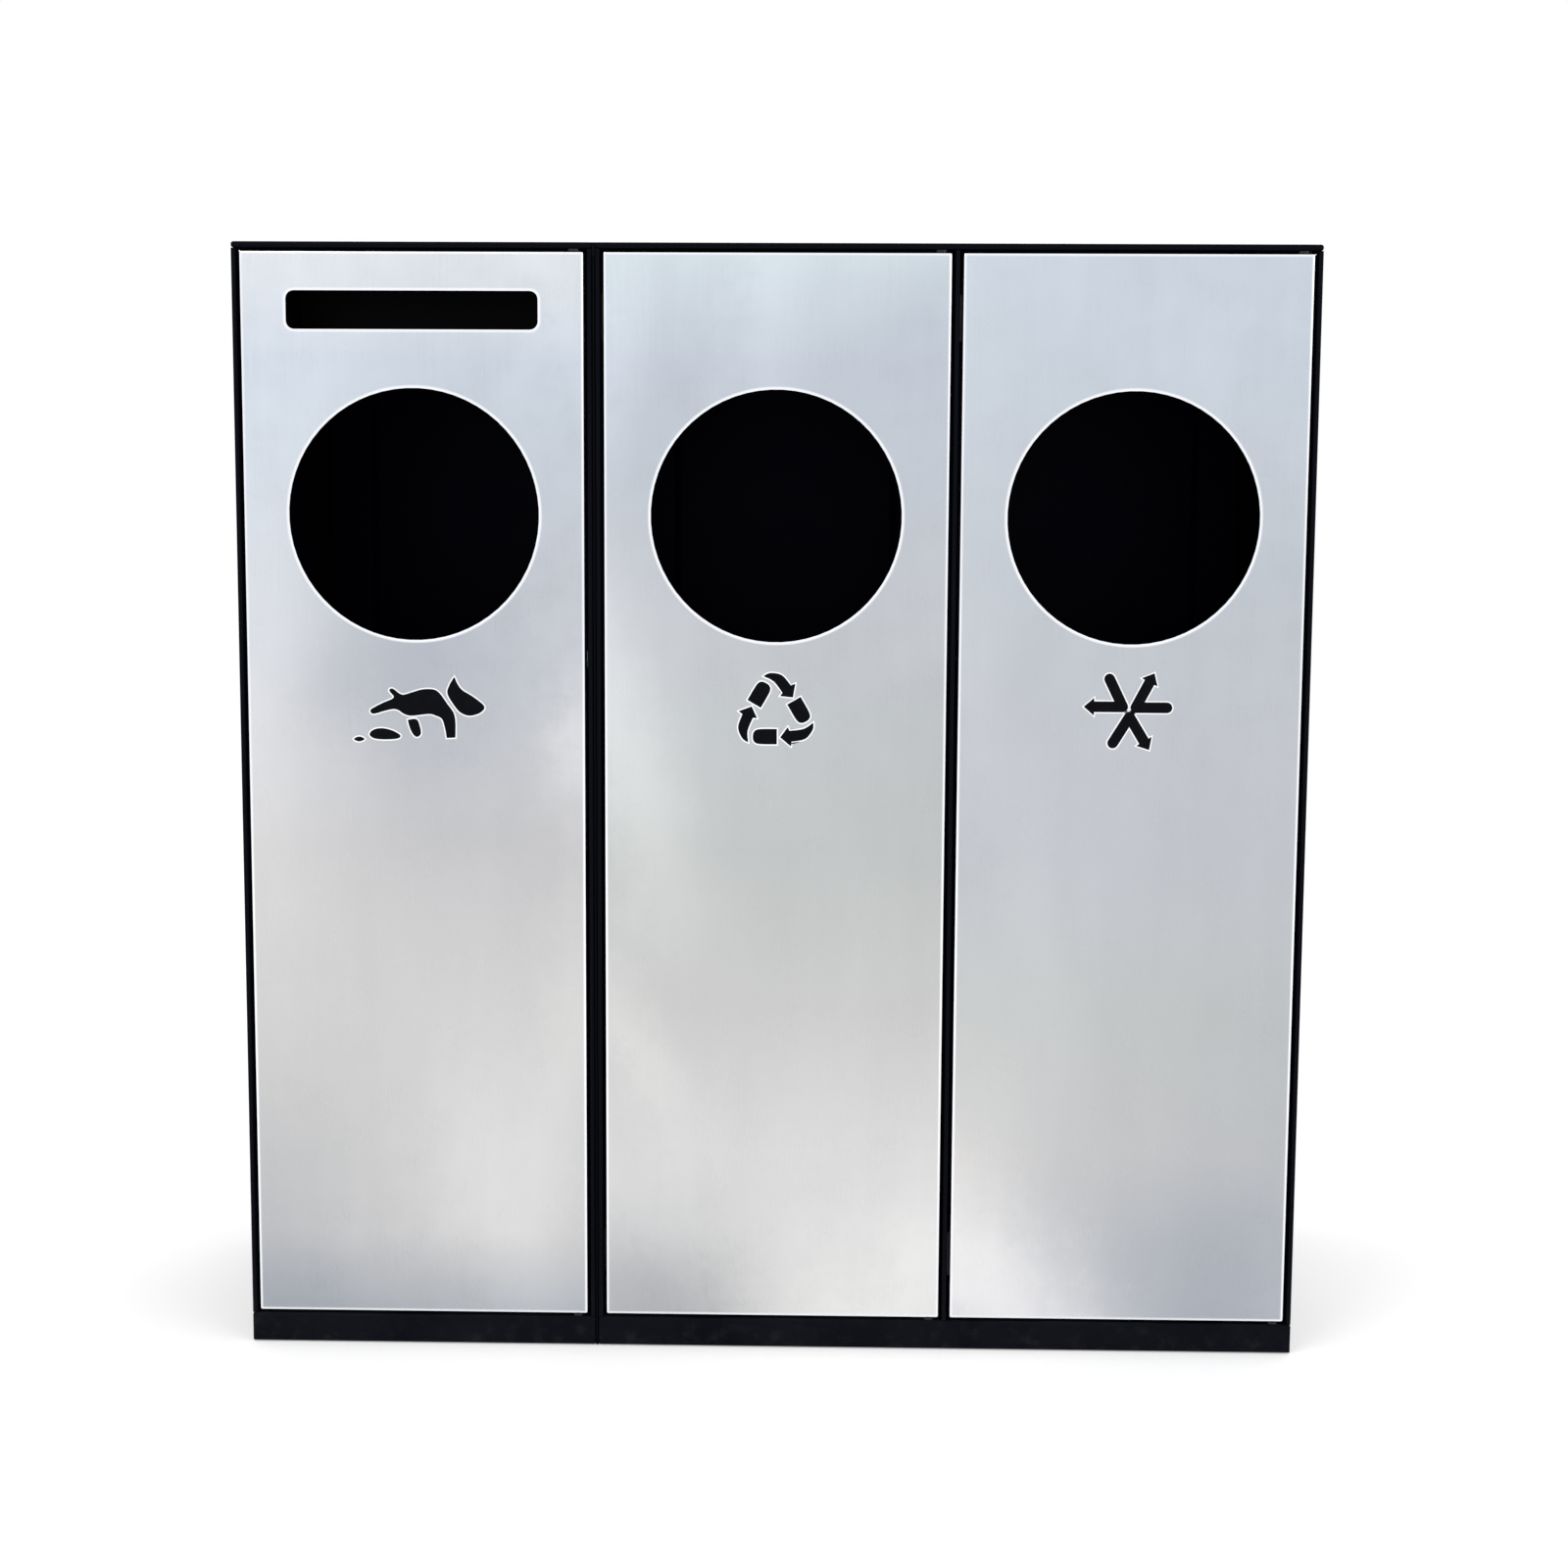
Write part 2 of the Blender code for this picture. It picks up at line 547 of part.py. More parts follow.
# Doors ---------------------------------------------------------------------------------
class Door:
    """Places of one door, worked out from the clear opening that it fills."""

    def __init__(self, name, opening, has_slot, catch_wall):
        self.name = name
        self.left = opening[0] + DOOR_GAP
        self.right = opening[1] - DOOR_GAP
        self.centre = (self.left + self.right) / 2
        self.has_slot = has_slot
        self.catch_wall = catch_wall
        self.pivot = Vector((self.right - PIVOT_FROM_EDGE, PIVOT_Y, DOOR_BOTTOM))
        self.lining = DOOR_SHEET + SEAT     # door edge to the inner frame

    def build(self):
        hinge = pivot_empty(self.name + "_door_axis", self.pivot)
        self.skin(hinge)
        self.inner_frame(hinge)
        self.bushes(hinge)
        self.pins()
        self.catches(hinge)
        if self.has_slot:
            self.bag_tray(hinge)

    def skin(self, hinge):
        """Brushed face with its edges folded back, cut for the inlet and the slot."""
        sheet = Sheet(facing_front(DOOR_FACE), (self.left, DOOR_BOTTOM),
                      (self.right, DOOR_TOP))
        sheet.fold(sheet.open_edges(), back_turned(sheet, DOOR_DEPTH))
        obj = sheet.finished(self.name + "_door_skin", "stainless", DOOR_SHEET, hinge)
        inlet = (self.centre, DOOR_FACE, INLET_Z)
        cutters = [rod_between(obj.name + "_inlet_cutter", Vector(inlet) + Vector((0, -SHEET, 0)),
                               Vector(inlet) + Vector((0, 2 * SHEET, 0)), INLET_RADIUS,
                               sides=ROUND_SIDES)]
        if self.has_slot:
            cutters.append(self.slot_cutter(obj.name + "_slot_cutter"))
        cut(obj, *cutters)
        self.pin_holes(obj, DOOR_SHEET, 0)

    def slot_cutter(self, name):
        """A block as wide as the inlet, with rounded upright edges seen from the front."""
        low = (self.centre - INLET_RADIUS, DOOR_FACE - SHEET, SLOT_Z - SLOT_HEIGHT / 2)
        high = (self.centre + INLET_RADIUS, DOOR_FACE + 2 * SHEET, SLOT_Z + SLOT_HEIGHT / 2)
        block = box_between(name, low, high, "dark_frame")
        corners = block.modifiers.new("corners", "BEVEL")
        corners.width = SLOT_CORNER
        corners.segments = 5
        corners.limit_method = "WEIGHT"
        weights = block.data.attributes.new("bevel_weight_edge", "FLOAT", "EDGE")
        for edge, weight in zip(block.data.edges, weights.data):
            start, end = (block.data.vertices[i].co for i in edge.vertices)
            weight.value = 1.0 if abs(start.y - end.y) > SHEET else 0.0
        return block

    def pin_holes(self, obj, gauge, inset):
        """Clearance holes for the pivot pins through a piece's lower and upper edges."""
        for level, up in ((DOOR_BOTTOM + inset, 1), (DOOR_TOP - inset, -1)):
            start = Vector((self.pivot.x, self.pivot.y, level - up * SEAT / 2))
            end = start + Vector((0, 0, up * (gauge + SEAT)))
            name = f"{obj.name}_pin_hole_{'lower' if up > 0 else 'upper'}"
            cut(obj, rod_between(name, start, end, PIN_RADIUS + SEAT))

    def inner_frame(self, hinge):
        """Channel frame inside the skin, open towards it, with a middle rail."""
        low = (self.left + self.lining, DOOR_BOTTOM + self.lining)
        high = (self.right - self.lining, DOOR_TOP - self.lining)
        rail_top = INLET_Z - INLET_RADIUS - MID_RAIL_BELOW_INLET
        outer_low, outer_high = (-high[0], low[1]), (-low[0], high[1])
        lower_window = ((outer_low[0] + STILE, outer_low[1] + STILE),
                        (outer_high[0] - STILE, rail_top - STILE))
        upper_window = ((outer_low[0] + STILE, rail_top),
                        (outer_high[0] - STILE, outer_high[1] - STILE))
        sheet = Sheet(facing_back(DOOR_BACK), outer_low, outer_high,
                      windows=(lower_window, upper_window))
        sheet.fold(sheet.open_edges(), back_turned(sheet, DOOR_DEPTH - self.lining))
        obj = sheet.finished(self.name + "_door_frame", "dark_frame", DOOR_SHEET, hinge)
        self.pin_holes(obj, DOOR_SHEET, self.lining)

    def bushes(self, hinge):
        """Two plastic blocks in the frame's corners, bored to turn on the pivot pins."""
        inset = self.lining + DOOR_SHEET + SEAT
        left, right = self.right - inset - BUSH_WIDTH, self.right - inset
        front, back = DOOR_FACE + self.lining, DOOR_BACK - DOOR_SHEET - SEAT
        levels = {"lower": (DOOR_BOTTOM + inset, 1), "upper": (DOOR_TOP - inset, -1)}
        for place, (level, up) in levels.items():
            heights = sorted((level, level + up * BUSH_HEIGHT))
            bush = box_between(f"{self.name}_pivot_bush_{place}", (left, front, heights[0]),
                               (right, back, heights[1]), "nylon", hinge)
            bottom = Vector((self.pivot.x, self.pivot.y, heights[0] - SHEET))
            top = Vector((self.pivot.x, self.pivot.y, heights[1] + SHEET))
            bore = PIN_RADIUS / math.cos(math.pi / PIN_SIDES) + RUNNING
            cut(bush, rod_between(bush.name + "_bore", bottom, top, bore, PIN_SIDES))

    def pins(self):
        """Shouldered pins: the lower stands in the floor, the upper hangs from the roof."""
        levels = {"lower": (PLINTH_HEIGHT, DOOR_BOTTOM, 1),
                  "upper": (ROOF_UNDERSIDE, DOOR_TOP, -1)}
        for place, (seat, door_end, up) in levels.items():
            heights = [(0, door_end + up * PIN_LENGTH), (PIN_RADIUS, door_end + up * PIN_LENGTH),
                       (PIN_RADIUS, door_end - up * SEAT), (SHOULDER_RADIUS, door_end - up * SEAT),
                       (SHOULDER_RADIUS, seat + up * SEAT), (PIN_RADIUS, seat + up * SEAT),
                       (PIN_RADIUS, seat - up * (SHEET + SEAT)), (0, seat - up * (SHEET + SEAT))]
            profile = heights if up > 0 else heights[::-1]
            turned(f"{self.name}_pivot_pin_{place}", profile, "pin_steel",
                   (self.pivot.x, self.pivot.y, 0), sides=PIN_SIDES)

    def catches(self, hinge):
        """Magnets on the cabinet wall and steel keepers on the door's latch side."""
        keeper_back = DOOR_BACK + SEAT + KEEPER_THICKNESS
        magnet_front = keeper_back + SEAT
        keeper_left = self.left + KEEPER_FROM_EDGE
        for place, level in (("lower", DOOR_BOTTOM + CATCH_FROM_END),
                             ("upper", DOOR_TOP - CATCH_FROM_END)):
            keeper = box_between(
                f"{self.name}_keeper_{place}",
                (keeper_left, DOOR_BACK + SEAT, level - KEEPER_HEIGHT / 2),
                (keeper_left + KEEPER_WIDTH, keeper_back, level + KEEPER_HEIGHT / 2),
                "pin_steel", hinge)
            soften(keeper, EDGE_EASING)
            wall = self.catch_wall + SEAT
            magnet = box_between(
                f"{self.name}_magnet_{place}",
                (wall, magnet_front, level - MAGNET_HEIGHT / 2),
                (wall + MAGNET_WIDTH, magnet_front + MAGNET_DEPTH, level + MAGNET_HEIGHT / 2),
                "magnet_case")
            soften(magnet, 2 * EDGE_EASING)

    def bag_tray(self, hinge):
        """Folded trough behind the slot, open to it and on top, lugged to the stiles."""
        half_width = INLET_RADIUS + TRAY_OVERLAP
        floor = SLOT_Z - SLOT_HEIGHT / 2 - TRAY_MARGIN
        front = DOOR_BACK + SEAT
        back = front + TRAY_DEPTH
        sheet = Sheet(facing_back(back), (-self.centre - half_width, floor),
                      (-self.centre + half_width, floor + TRAY_HEIGHT))
        sheet.fold(sheet.open_edges(lambda a, b: not (is_level(a, b) and a.z > floor + SEAT)),
                   back_turned(sheet, TRAY_DEPTH - DOOR_SHEET))
        lug_face = front + DOOR_SHEET
        keeper_right = self.left + KEEPER_FROM_EDGE + KEEPER_WIDTH
        lug = self.centre - half_width - keeper_right - SHEET
        for side in (-1, 1):
            edge_x = self.centre + side * half_width
            lugs = sheet.open_edges(lambda a, b: not is_level(a, b)
                                    and abs(a.x - edge_x) < SEAT and abs(b.x - edge_x) < SEAT
                                    and abs(a.y - lug_face) < SEAT)
            sheet.fold(lugs, lambda point: point + Vector((side * lug, 0, 0)))
        sheet.finished(self.name + "_bag_tray", "dark_frame", DOOR_SHEET, hinge)


# Liners --------------------------------------------------------------------------------
def rounded_ring(builder, half_x, half_y, corner, centre, height):
    """Vertices of a level rectangle with round corners, counter-clockwise from above."""
    ring = []
    for index, (side_x, side_y) in enumerate(((1, 1), (-1, 1), (-1, -1), (1, -1))):
        for step in range(CORNER_STEPS + 1):
            angle = math.radians(90 * (index + step / CORNER_STEPS))
            ring.append(builder.verts.new((
                centre.x + side_x * (half_x - corner) + corner * math.cos(angle),
                centre.y + side_y * (half_y - corner) + corner * math.sin(angle),
                height)))
    return ring


def liner_profile():
    """(outset, height) pairs up the outside of a liner: wall, two beads, turned rim."""
    bottom, top = PANEL_BOTTOM, LINER_RIM - LINER_SHEET

    def lean(height):
        return -LINER_TAPER * (top - height) / (top - bottom)

    profile = [(lean(bottom), bottom)]
    for share in (1 / 3, 2 / 3):
        middle = bottom + share * (top - bottom)
        for offset, bulge in ((-1, 0), (0, 1), (1, 0)):
            height = middle + offset * BEAD_HEIGHT
            profile.append((lean(height) - bulge * BEAD_DEPTH, height))
    rim = RIM_WIDTH - LINER_SHEET
    profile += [(0, top), (rim, top), (rim, top - RIM_WIDTH)]
    return profile


def liner(name, centre):
    """Tapered galvanised box with pressed beads, a turned rim and two ears."""
    builder = bmesh.new()
    rings = [rounded_ring(builder, LINER_WIDTH / 2 + outset, LINER_LENGTH / 2 + outset,
                          LINER_CORNER + outset, centre, height)
             for outset, height in liner_profile()]
    builder.faces.new(rings[0][::-1])
    for lower, upper in zip(rings, rings[1:]):
        for index, corner in enumerate(lower):
            following = (index + 1) % len(lower)
            builder.faces.new((corner, lower[following], upper[following], upper[index]))
    obj = sheet_object(name, builder, Vector((0, 0, -1)), "galvanised", LINER_SHEET)
    for side in (-1, 1):
        outer = centre.x + side * (LINER_WIDTH / 2 - LINER_SHEET / 2)
        inner = centre.x + side * ear_inner_offset()
        low_x, high_x = sorted((outer, inner))
        ear = box_between(
            f"{name}_ear_{'left' if side < 0 else 'right'}",
            (low_x, centre.y - EAR_WIDTH / 2, LINER_RIM + EAR_ABOVE_RIM - EAR_HEIGHT),
            (high_x, centre.y + EAR_WIDTH / 2, LINER_RIM + EAR_ABOVE_RIM), "galvanised")
        join_solid(obj, ear)
    eye = rod_between(name + "_ear_eyes", (centre.x - LINER_WIDTH, centre.y, bail_height()),
                      (centre.x + LINER_WIDTH, centre.y, bail_height()), BAIL_RADIUS + SEAT)
    cut(obj, eye)
    return obj


def ear_inner_offset():
    """Centre of a liner to the inner face of its ears."""
    return LINER_WIDTH / 2 - LINER_SHEET - EAR_SHEET


def bail_height():
    """Height of a bail's axis, which lets its wire lie just above the rim."""
    return LINER_RIM + BAIL_RADIUS + 2 * SEAT


def bail(name, centre):
    """Wire handle through both ears, lying forward on the rim."""
    axis = Vector((centre.x, centre.y, bail_height()))
    swing = pivot_empty(name + "_axis", axis)
    leg = ear_inner_offset() - SEAT - BAIL_ELBOW
    tip = LINER_WIDTH / 2 - LINER_SHEET / 2 + BAIL_END
    reach = LINER_LENGTH / 2 + RIM_WIDTH / 2
    corners = [(-tip, 0, 0), (-leg, 0, BAIL_ELBOW), (-leg, -reach, BAIL_CORNER),
               (leg, -reach, BAIL_CORNER), (leg, 0, BAIL_ELBOW), (tip, 0, 0)]
    route = filleted(corners)
    curve = bpy.data.curves.new(name, "CURVE")
    curve.dimensions = "3D"
    curve.bevel_depth = BAIL_RADIUS
    curve.bevel_resolution = 2
    curve.use_fill_caps = True
    spline = curve.splines.new("POLY")
    spline.points.add(len(route) - 1)
    for point, place in zip(spline.points, route):
        point.co = (axis.x + place.x, axis.y + place.y, axis.z, 1)
    return finish(add_object(name, curve, swing), "pin_steel")


def filleted(corners):
    """A flat route through corners (x, y, radius), each turned into an arc."""
    route = [Vector(corners[0][:2])]
    for before, (x, y, radius), after in zip(corners, corners[1:], corners[2:]):
        corner = Vector((x, y))
        inward = (Vector(before[:2]) - corner).normalized()
        onward = (Vector(after[:2]) - corner).normalized()
        centre = corner + (inward + onward) * radius
        for step in range(BEND_STEPS * 2 + 1):
            share = step / (BEND_STEPS * 2)
            route.append(centre - onward * radius * math.cos(share * math.pi / 2)
                         - inward * radius * math.sin(share * math.pi / 2))
    route.append(Vector(corners[-1][:2]))
    return route


# Assembly ------------------------------------------------------------------------------
def build_station():
    clear_scene()
    carcass(SINGLE)
    carcass(DOUBLE)
    partition_length = BAY_BACK - SEAT - FRONT
    side_panel("double_partition", DOUBLE.openings[1][0], -1, partition_length)
    link_bolts(bpy.data.objects["single_side_right"], bpy.data.objects["double_side_left"])
    doors = [Door("left", SINGLE.openings[0], True, SINGLE.left + SHEET),
             Door("middle", DOUBLE.openings[0], False, DOUBLE.left + SHEET),
             Door("right", DOUBLE.openings[1], False, DOUBLE.openings[1][0])]
    for door in doors:
        door.build()
        centre = Vector((door.centre, LINER_Y, 0))
        liner(door.name + "_liner", centre)
        bail(door.name + "_bail", centre)


build_station()
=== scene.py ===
"""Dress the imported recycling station: finishes, signs, fixings, and a plain studio round it.

The station is two black sheet-steel cabinets with three brushed doors.  Everything here is in
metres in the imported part's own frame: +X to the right, the doors face -Y, +Z up.
"""

import logging
import math
from collections.abc import Iterable, Sequence
from dataclasses import dataclass, field
from enum import Enum
from itertools import product

import bmesh
import bpy
from mathutils import Matrix, Vector


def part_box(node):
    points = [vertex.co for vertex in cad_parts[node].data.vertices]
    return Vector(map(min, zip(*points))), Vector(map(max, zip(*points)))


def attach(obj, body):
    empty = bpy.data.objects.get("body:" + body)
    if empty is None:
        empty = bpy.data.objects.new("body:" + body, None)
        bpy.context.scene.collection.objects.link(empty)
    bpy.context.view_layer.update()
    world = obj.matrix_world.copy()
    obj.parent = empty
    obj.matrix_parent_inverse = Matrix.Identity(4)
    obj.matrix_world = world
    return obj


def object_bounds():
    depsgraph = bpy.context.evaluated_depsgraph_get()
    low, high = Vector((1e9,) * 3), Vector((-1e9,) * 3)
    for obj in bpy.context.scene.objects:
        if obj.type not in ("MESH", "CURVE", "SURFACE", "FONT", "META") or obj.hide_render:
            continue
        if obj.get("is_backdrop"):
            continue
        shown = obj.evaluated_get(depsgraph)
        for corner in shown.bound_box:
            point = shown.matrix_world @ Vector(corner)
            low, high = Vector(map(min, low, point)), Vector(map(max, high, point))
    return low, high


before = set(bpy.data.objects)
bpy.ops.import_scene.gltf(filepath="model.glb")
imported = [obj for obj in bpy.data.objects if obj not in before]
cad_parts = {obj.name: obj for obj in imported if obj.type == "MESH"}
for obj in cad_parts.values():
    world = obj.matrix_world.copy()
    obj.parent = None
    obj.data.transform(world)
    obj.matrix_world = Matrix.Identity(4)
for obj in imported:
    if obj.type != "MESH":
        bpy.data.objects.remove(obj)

MM = 0.001
Colour = tuple[float, float, float]
Place = tuple[float, float, float]
Point = tuple[float, float]
Span = tuple[float, float]
Stops = tuple[tuple[float, Colour], ...]

log = logging.getLogger("station")


class Bay(Enum):
    """The three bays, named as their nodes are."""

    LEFT = "left"
    MIDDLE = "middle"
    RIGHT = "right"

    @property
    def door(self) -> str:
        """The body of this bay's door."""
        return self.value + "_door"


class Cabinet(Enum):
    """The two cabinets, named as their nodes are."""

    SINGLE = "single"
    DOUBLE = "double"


class Level(Enum):
    """The two levels of a door's pivots and catches, named as their nodes are."""

    LOWER = "lower"
    UPPER = "upper"


# Shader building -----------------------------------------------------------------------
# How straight a surface faces an axis, from where that starts to count to where it fully does.
SQUARE_ON: Span = (0.5, 0.95)


class Value:
    """A scalar socket of a material, with Python's arithmetic."""

    def __init__(self, graph: "Graph", socket: bpy.types.NodeSocket) -> None:
        """Wrap one output socket.

        Args:
            graph: the material that the socket belongs to.
            socket: the scalar output.
        """
        self.graph = graph
        self.socket = socket

    def maths(self, operation: str, *others: "Value | float", clamp: bool = False) -> "Value":
        """Apply a Math node to this value and others.

        Args:
            operation: the Math node's operation.
            others: the remaining operands, in order.
            clamp: whether the result is limited to 0..1.

        Returns:
            The result as a value.
        """
        return self.graph.maths(operation, self, *others, clamp=clamp)

    def __add__(self, other: "Value | float") -> "Value":
        """Sum."""
        return self.maths("ADD", other)

    __radd__ = __add__

    def __sub__(self, other: "Value | float") -> "Value":
        """Difference."""
        return self.maths("SUBTRACT", other)

    def __rsub__(self, other: float) -> "Value":
        """Difference from a number."""
        return self.graph.maths("SUBTRACT", other, self)

    def __mul__(self, other: "Value | float") -> "Value":
        """Product."""
        return self.maths("MULTIPLY", other)

    __rmul__ = __mul__

    def __truediv__(self, other: "Value | float") -> "Value":
        """Quotient."""
        return self.maths("DIVIDE", other)

    def __abs__(self) -> "Value":
        """Size without sign."""
        return self.maths("ABSOLUTE")

    def __lt__(self, other: "Value | float") -> "Value":
        """1 where this is less than the other, else 0."""
        return self.maths("LESS_THAN", other)

    def lowest(self, other: "Value | float") -> "Value":
        """The smaller of two values."""
        return self.maths("MINIMUM", other)

    def highest(self, other: "Value | float") -> "Value":
        """The greater of two values."""
        return self.maths("MAXIMUM", other)

    def clamped(self) -> "Value":
        """This value limited to 0..1."""
        return self.maths("ADD", 0.0, clamp=True)

    def swayed(self, share: float) -> "Value":
        """A noise that sways about 0.5, as a sway of this share about 0."""
        return (self - 0.5) * share

    def ramped(self, low: float, high: float) -> "Value":
        """Rise smoothly from 0 at `low` to 1 at `high`.

        Args:
            low: the value that gives 0.
            high: the value that gives 1.

        Returns:
            The eased value.
        """
        node = self.graph.node("ShaderNodeMapRange", {"interpolation_type": "SMOOTHSTEP"},
                               {"Value": self, "From Min": low, "From Max": high})
        return Value(self.graph, node.outputs["Result"])


@dataclass(frozen=True)
class Grain:
    """The make of one soft noise over an object.

    Scale is in blobs per metre, and roughness is the strength of the finer octaves.  Small
    stretch factors draw the noise out, and distortion folds it into itself.  Where `shown` is
    given, the noise rises from 0 to 1 between those two levels and is flat outside them.
    """

    scale: float
    detail: float = 2.0
    roughness: float = 0.5
    stretch: Place = (1.0, 1.0, 1.0)
    distortion: float = 0.0
    shown: Span | None = None


class Graph:
    """The node tree of one material, or of the sky."""

    def __init__(self, owner: bpy.types.Material | bpy.types.World) -> None:
        """Open the node tree that a new material or world comes with.

        Args:
            owner: the material or world.
        """
        owner.use_nodes = True
        self.owner = owner
        self.tree = owner.node_tree

    @classmethod
    def of_material(cls, name: str) -> "Graph":
        """Start a material of one Principled shader."""
        return cls(bpy.data.materials.new(name))

    def node(self, kind: str, settings: dict[str, object] | None = None,
             inputs: dict[str | int, object] | None = None) -> bpy.types.Node:
        """Add a node, set it up, then feed its sockets.

        Args:
            kind: the node's type name.
            settings: properties, set first; "stops" is a colour ramp's (place, colour) list.
            inputs: socket name or index to a number, colour, vector, socket or Value.

        Returns:
            The new node.
        """
        node = self.tree.nodes.new(kind)
        for key, setting in (settings or {}).items():
            if key == "stops":
                self.set_stops(node.color_ramp, setting)
            else:
                setattr(node, key, setting)
        for key, feed in (inputs or {}).items():
            self.feed(node.inputs[key], feed)
        return node

    @staticmethod
    def set_stops(ramp: bpy.types.ColorRamp, stops: Stops) -> None:
        """Give a colour ramp its stops.

        Args:
            ramp: the ramp of a Color Ramp node.
            stops: place and colour of each stop, in rising order.
        """
        while len(ramp.elements) < len(stops):
            ramp.elements.new(1.0)
        for element, (place, colour) in zip(ramp.elements, stops):
            element.position = place
            element.color = (*colour, 1.0)

    def feed(self, socket: bpy.types.NodeSocket, source: object) -> None:
        """Link a socket, or set its value.

        Args:
            socket: the input.
            source: a Value, an output socket, a number, a colour or a vector.
        """
        if isinstance(source, Value):
            source = source.socket
        if isinstance(source, bpy.types.NodeSocket):
            self.tree.links.new(source, socket)
        elif isinstance(source, tuple) and socket.type == "RGBA":
            socket.default_value = (*source, 1.0)
        else:
            socket.default_value = source

    def maths(self, operation: str, *operands: Value | float, clamp: bool = False) -> Value:
        """Add a Math node.

        Args:
            operation: its operation.
            operands: its inputs, in order.
            clamp: whether its result is limited to 0..1.

        Returns:
            Its result.
        """
        node = self.node("ShaderNodeMath", {"operation": operation, "use_clamp": clamp},
                         dict(enumerate(operands)))
        return Value(self, node.outputs[0])

    def vectors(self, operation: str, *operands: object) -> bpy.types.NodeSocket:
        """Add a Vector Math node.

        Args:
            operation: its operation.
            operands: its inputs, in order.

        Returns:
            Its vector output.
        """
        node = self.node("ShaderNodeVectorMath", {"operation": operation},
                         dict(enumerate(operands)))
        return node.outputs["Vector"]

    def place(self) -> bpy.types.NodeSocket:
        """Position in the station's rest frame, which stays with a door as it swings."""
        return self.node("ShaderNodeTexCoord").outputs["Object"]

    def axes(self) -> tuple[Value, Value, Value]:
        """The three components of `place`."""
        split = self.node("ShaderNodeSeparateXYZ", inputs={"Vector": self.place()})
        return tuple(Value(self, split.outputs[i]) for i in range(3))

    def facing(self, axis: str) -> Value:
        """1 where the surface faces along X, Y or Z, falling to 0 as it turns away."""
        normal = self.node("ShaderNodeTexCoord").outputs["Normal"]
        split = self.node("ShaderNodeSeparateXYZ", inputs={"Vector": normal})
        return Value(self, split.outputs[axis]).ramped(*SQUARE_ON)

    def noise(self, grain: Grain) -> Value:
        """Soft noise over the object, about 0..1 with its middle at 0.5.

        Args:
            grain: the noise's make.

        Returns:
            The noise, or the part of it that shows.
        """
        vector = self.vectors("MULTIPLY", self.place(), grain.stretch)
        node = self.node("ShaderNodeTexNoise", inputs={
            "Vector": vector, "Scale": grain.scale, "Detail": grain.detail,
            "Roughness": grain.roughness, "Distortion": grain.distortion})
        level = Value(self, node.outputs["Fac"])
        return level.ramped(*grain.shown) if grain.shown else level

    def cells(self, scale: float) -> Value:
        """A chance level for each cell of the object.

        Args:
            scale: cells per metre.

        Returns:
            0..1, the same all over a cell.
        """
        node = self.node("ShaderNodeTexVoronoi", inputs={"Vector": self.place(), "Scale": scale})
        split = self.node("ShaderNodeSeparateColor", inputs={"Color": node.outputs["Color"]})
        return Value(self, split.outputs[0])

    def mix(self, factor: Value | float, first: object, second: object) -> bpy.types.NodeSocket:
        """Mix two colours.

        Args:
            factor: 0 gives the first, 1 the second.
            first: colour or colour socket.
            second: colour or colour socket.

        Returns:
            The mixed colour.
        """
        node = self.node("ShaderNodeMix", {"data_type": "RGBA"},
                         {"Factor": factor, 6: first, 7: second})
        return node.outputs[2]

    def gained(self, colour: object, gain: Value) -> bpy.types.NodeSocket:
        """A colour made lighter or darker all over by a value.

        Args:
            colour: colour or colour socket.
            gain: 1 leaves the colour as it is.

        Returns:
            The scaled colour.
        """
        return self.vectors("MULTIPLY", colour, self.spread(gain))

    def spread(self, level: Value) -> bpy.types.NodeSocket:
        """A vector that holds one value three times."""
        node = self.node("ShaderNodeCombineXYZ", inputs={"X": level, "Y": level, "Z": level})
        return node.outputs["Vector"]

    def ramp(self, factor: Value, stops: Stops) -> bpy.types.NodeSocket:
        """Colour along a ramp.

        Args:
            factor: 0..1 along it.
            stops: place and colour of each stop.

        Returns:
            The colour.
        """
        node = self.node("ShaderNodeValToRGB", {"stops": stops}, {"Fac": factor})
        return node.outputs["Color"]

    def bump(self, height: Value, distance: float, strength: float = 1.0) -> None:
        """Feed the shader's normal from a height.

        Args:
            height: 0..1.
            distance: metres from height 0 to 1.
            strength: share of the bump that shows.
        """
        node = self.node("ShaderNodeBump", inputs={
            "Height": height, "Distance": distance, "Strength": strength})
        self.feed(self.tree.nodes["Principled BSDF"].inputs["Normal"], node.outputs["Normal"])

    def surface(self, **sockets: object) -> bpy.types.Material:
        """Feed the Principled shader and hand the material over.

        Args:
            sockets: socket names in lower case with underscores, and what feeds them.

        Returns:
            The finished material.
        """
        shader = self.tree.nodes["Principled BSDF"]
        for key, source in sockets.items():
            label = key.replace("_", " ").title().replace("Ior", "IOR")
            self.feed(shader.inputs[label], source)
        return self.owner


def srgb(red: int, green: int, blue: int) -> Colour:
    """A colour given in 0..255 display values, as the shader's linear values.

    Args:
        red: display red.
        green: display green.
        blue: display blue.

    Returns:
        The linear colour.
    """
    def linear(level: int) -> float:
        """One channel, by the display's transfer curve."""
        share = level / 255
        return share / 12.92 if share <= 0.04045 else ((share + 0.055) / 1.055) ** 2.4

    return linear(red), linear(green), linear(blue)


def tone_stops(*rows: tuple[float, int, int, int]) -> Stops:
    """Stops of a colour ramp, from rows of place, red, green and blue in display values."""
    return tuple((place, srgb(*levels)) for place, *levels in rows)


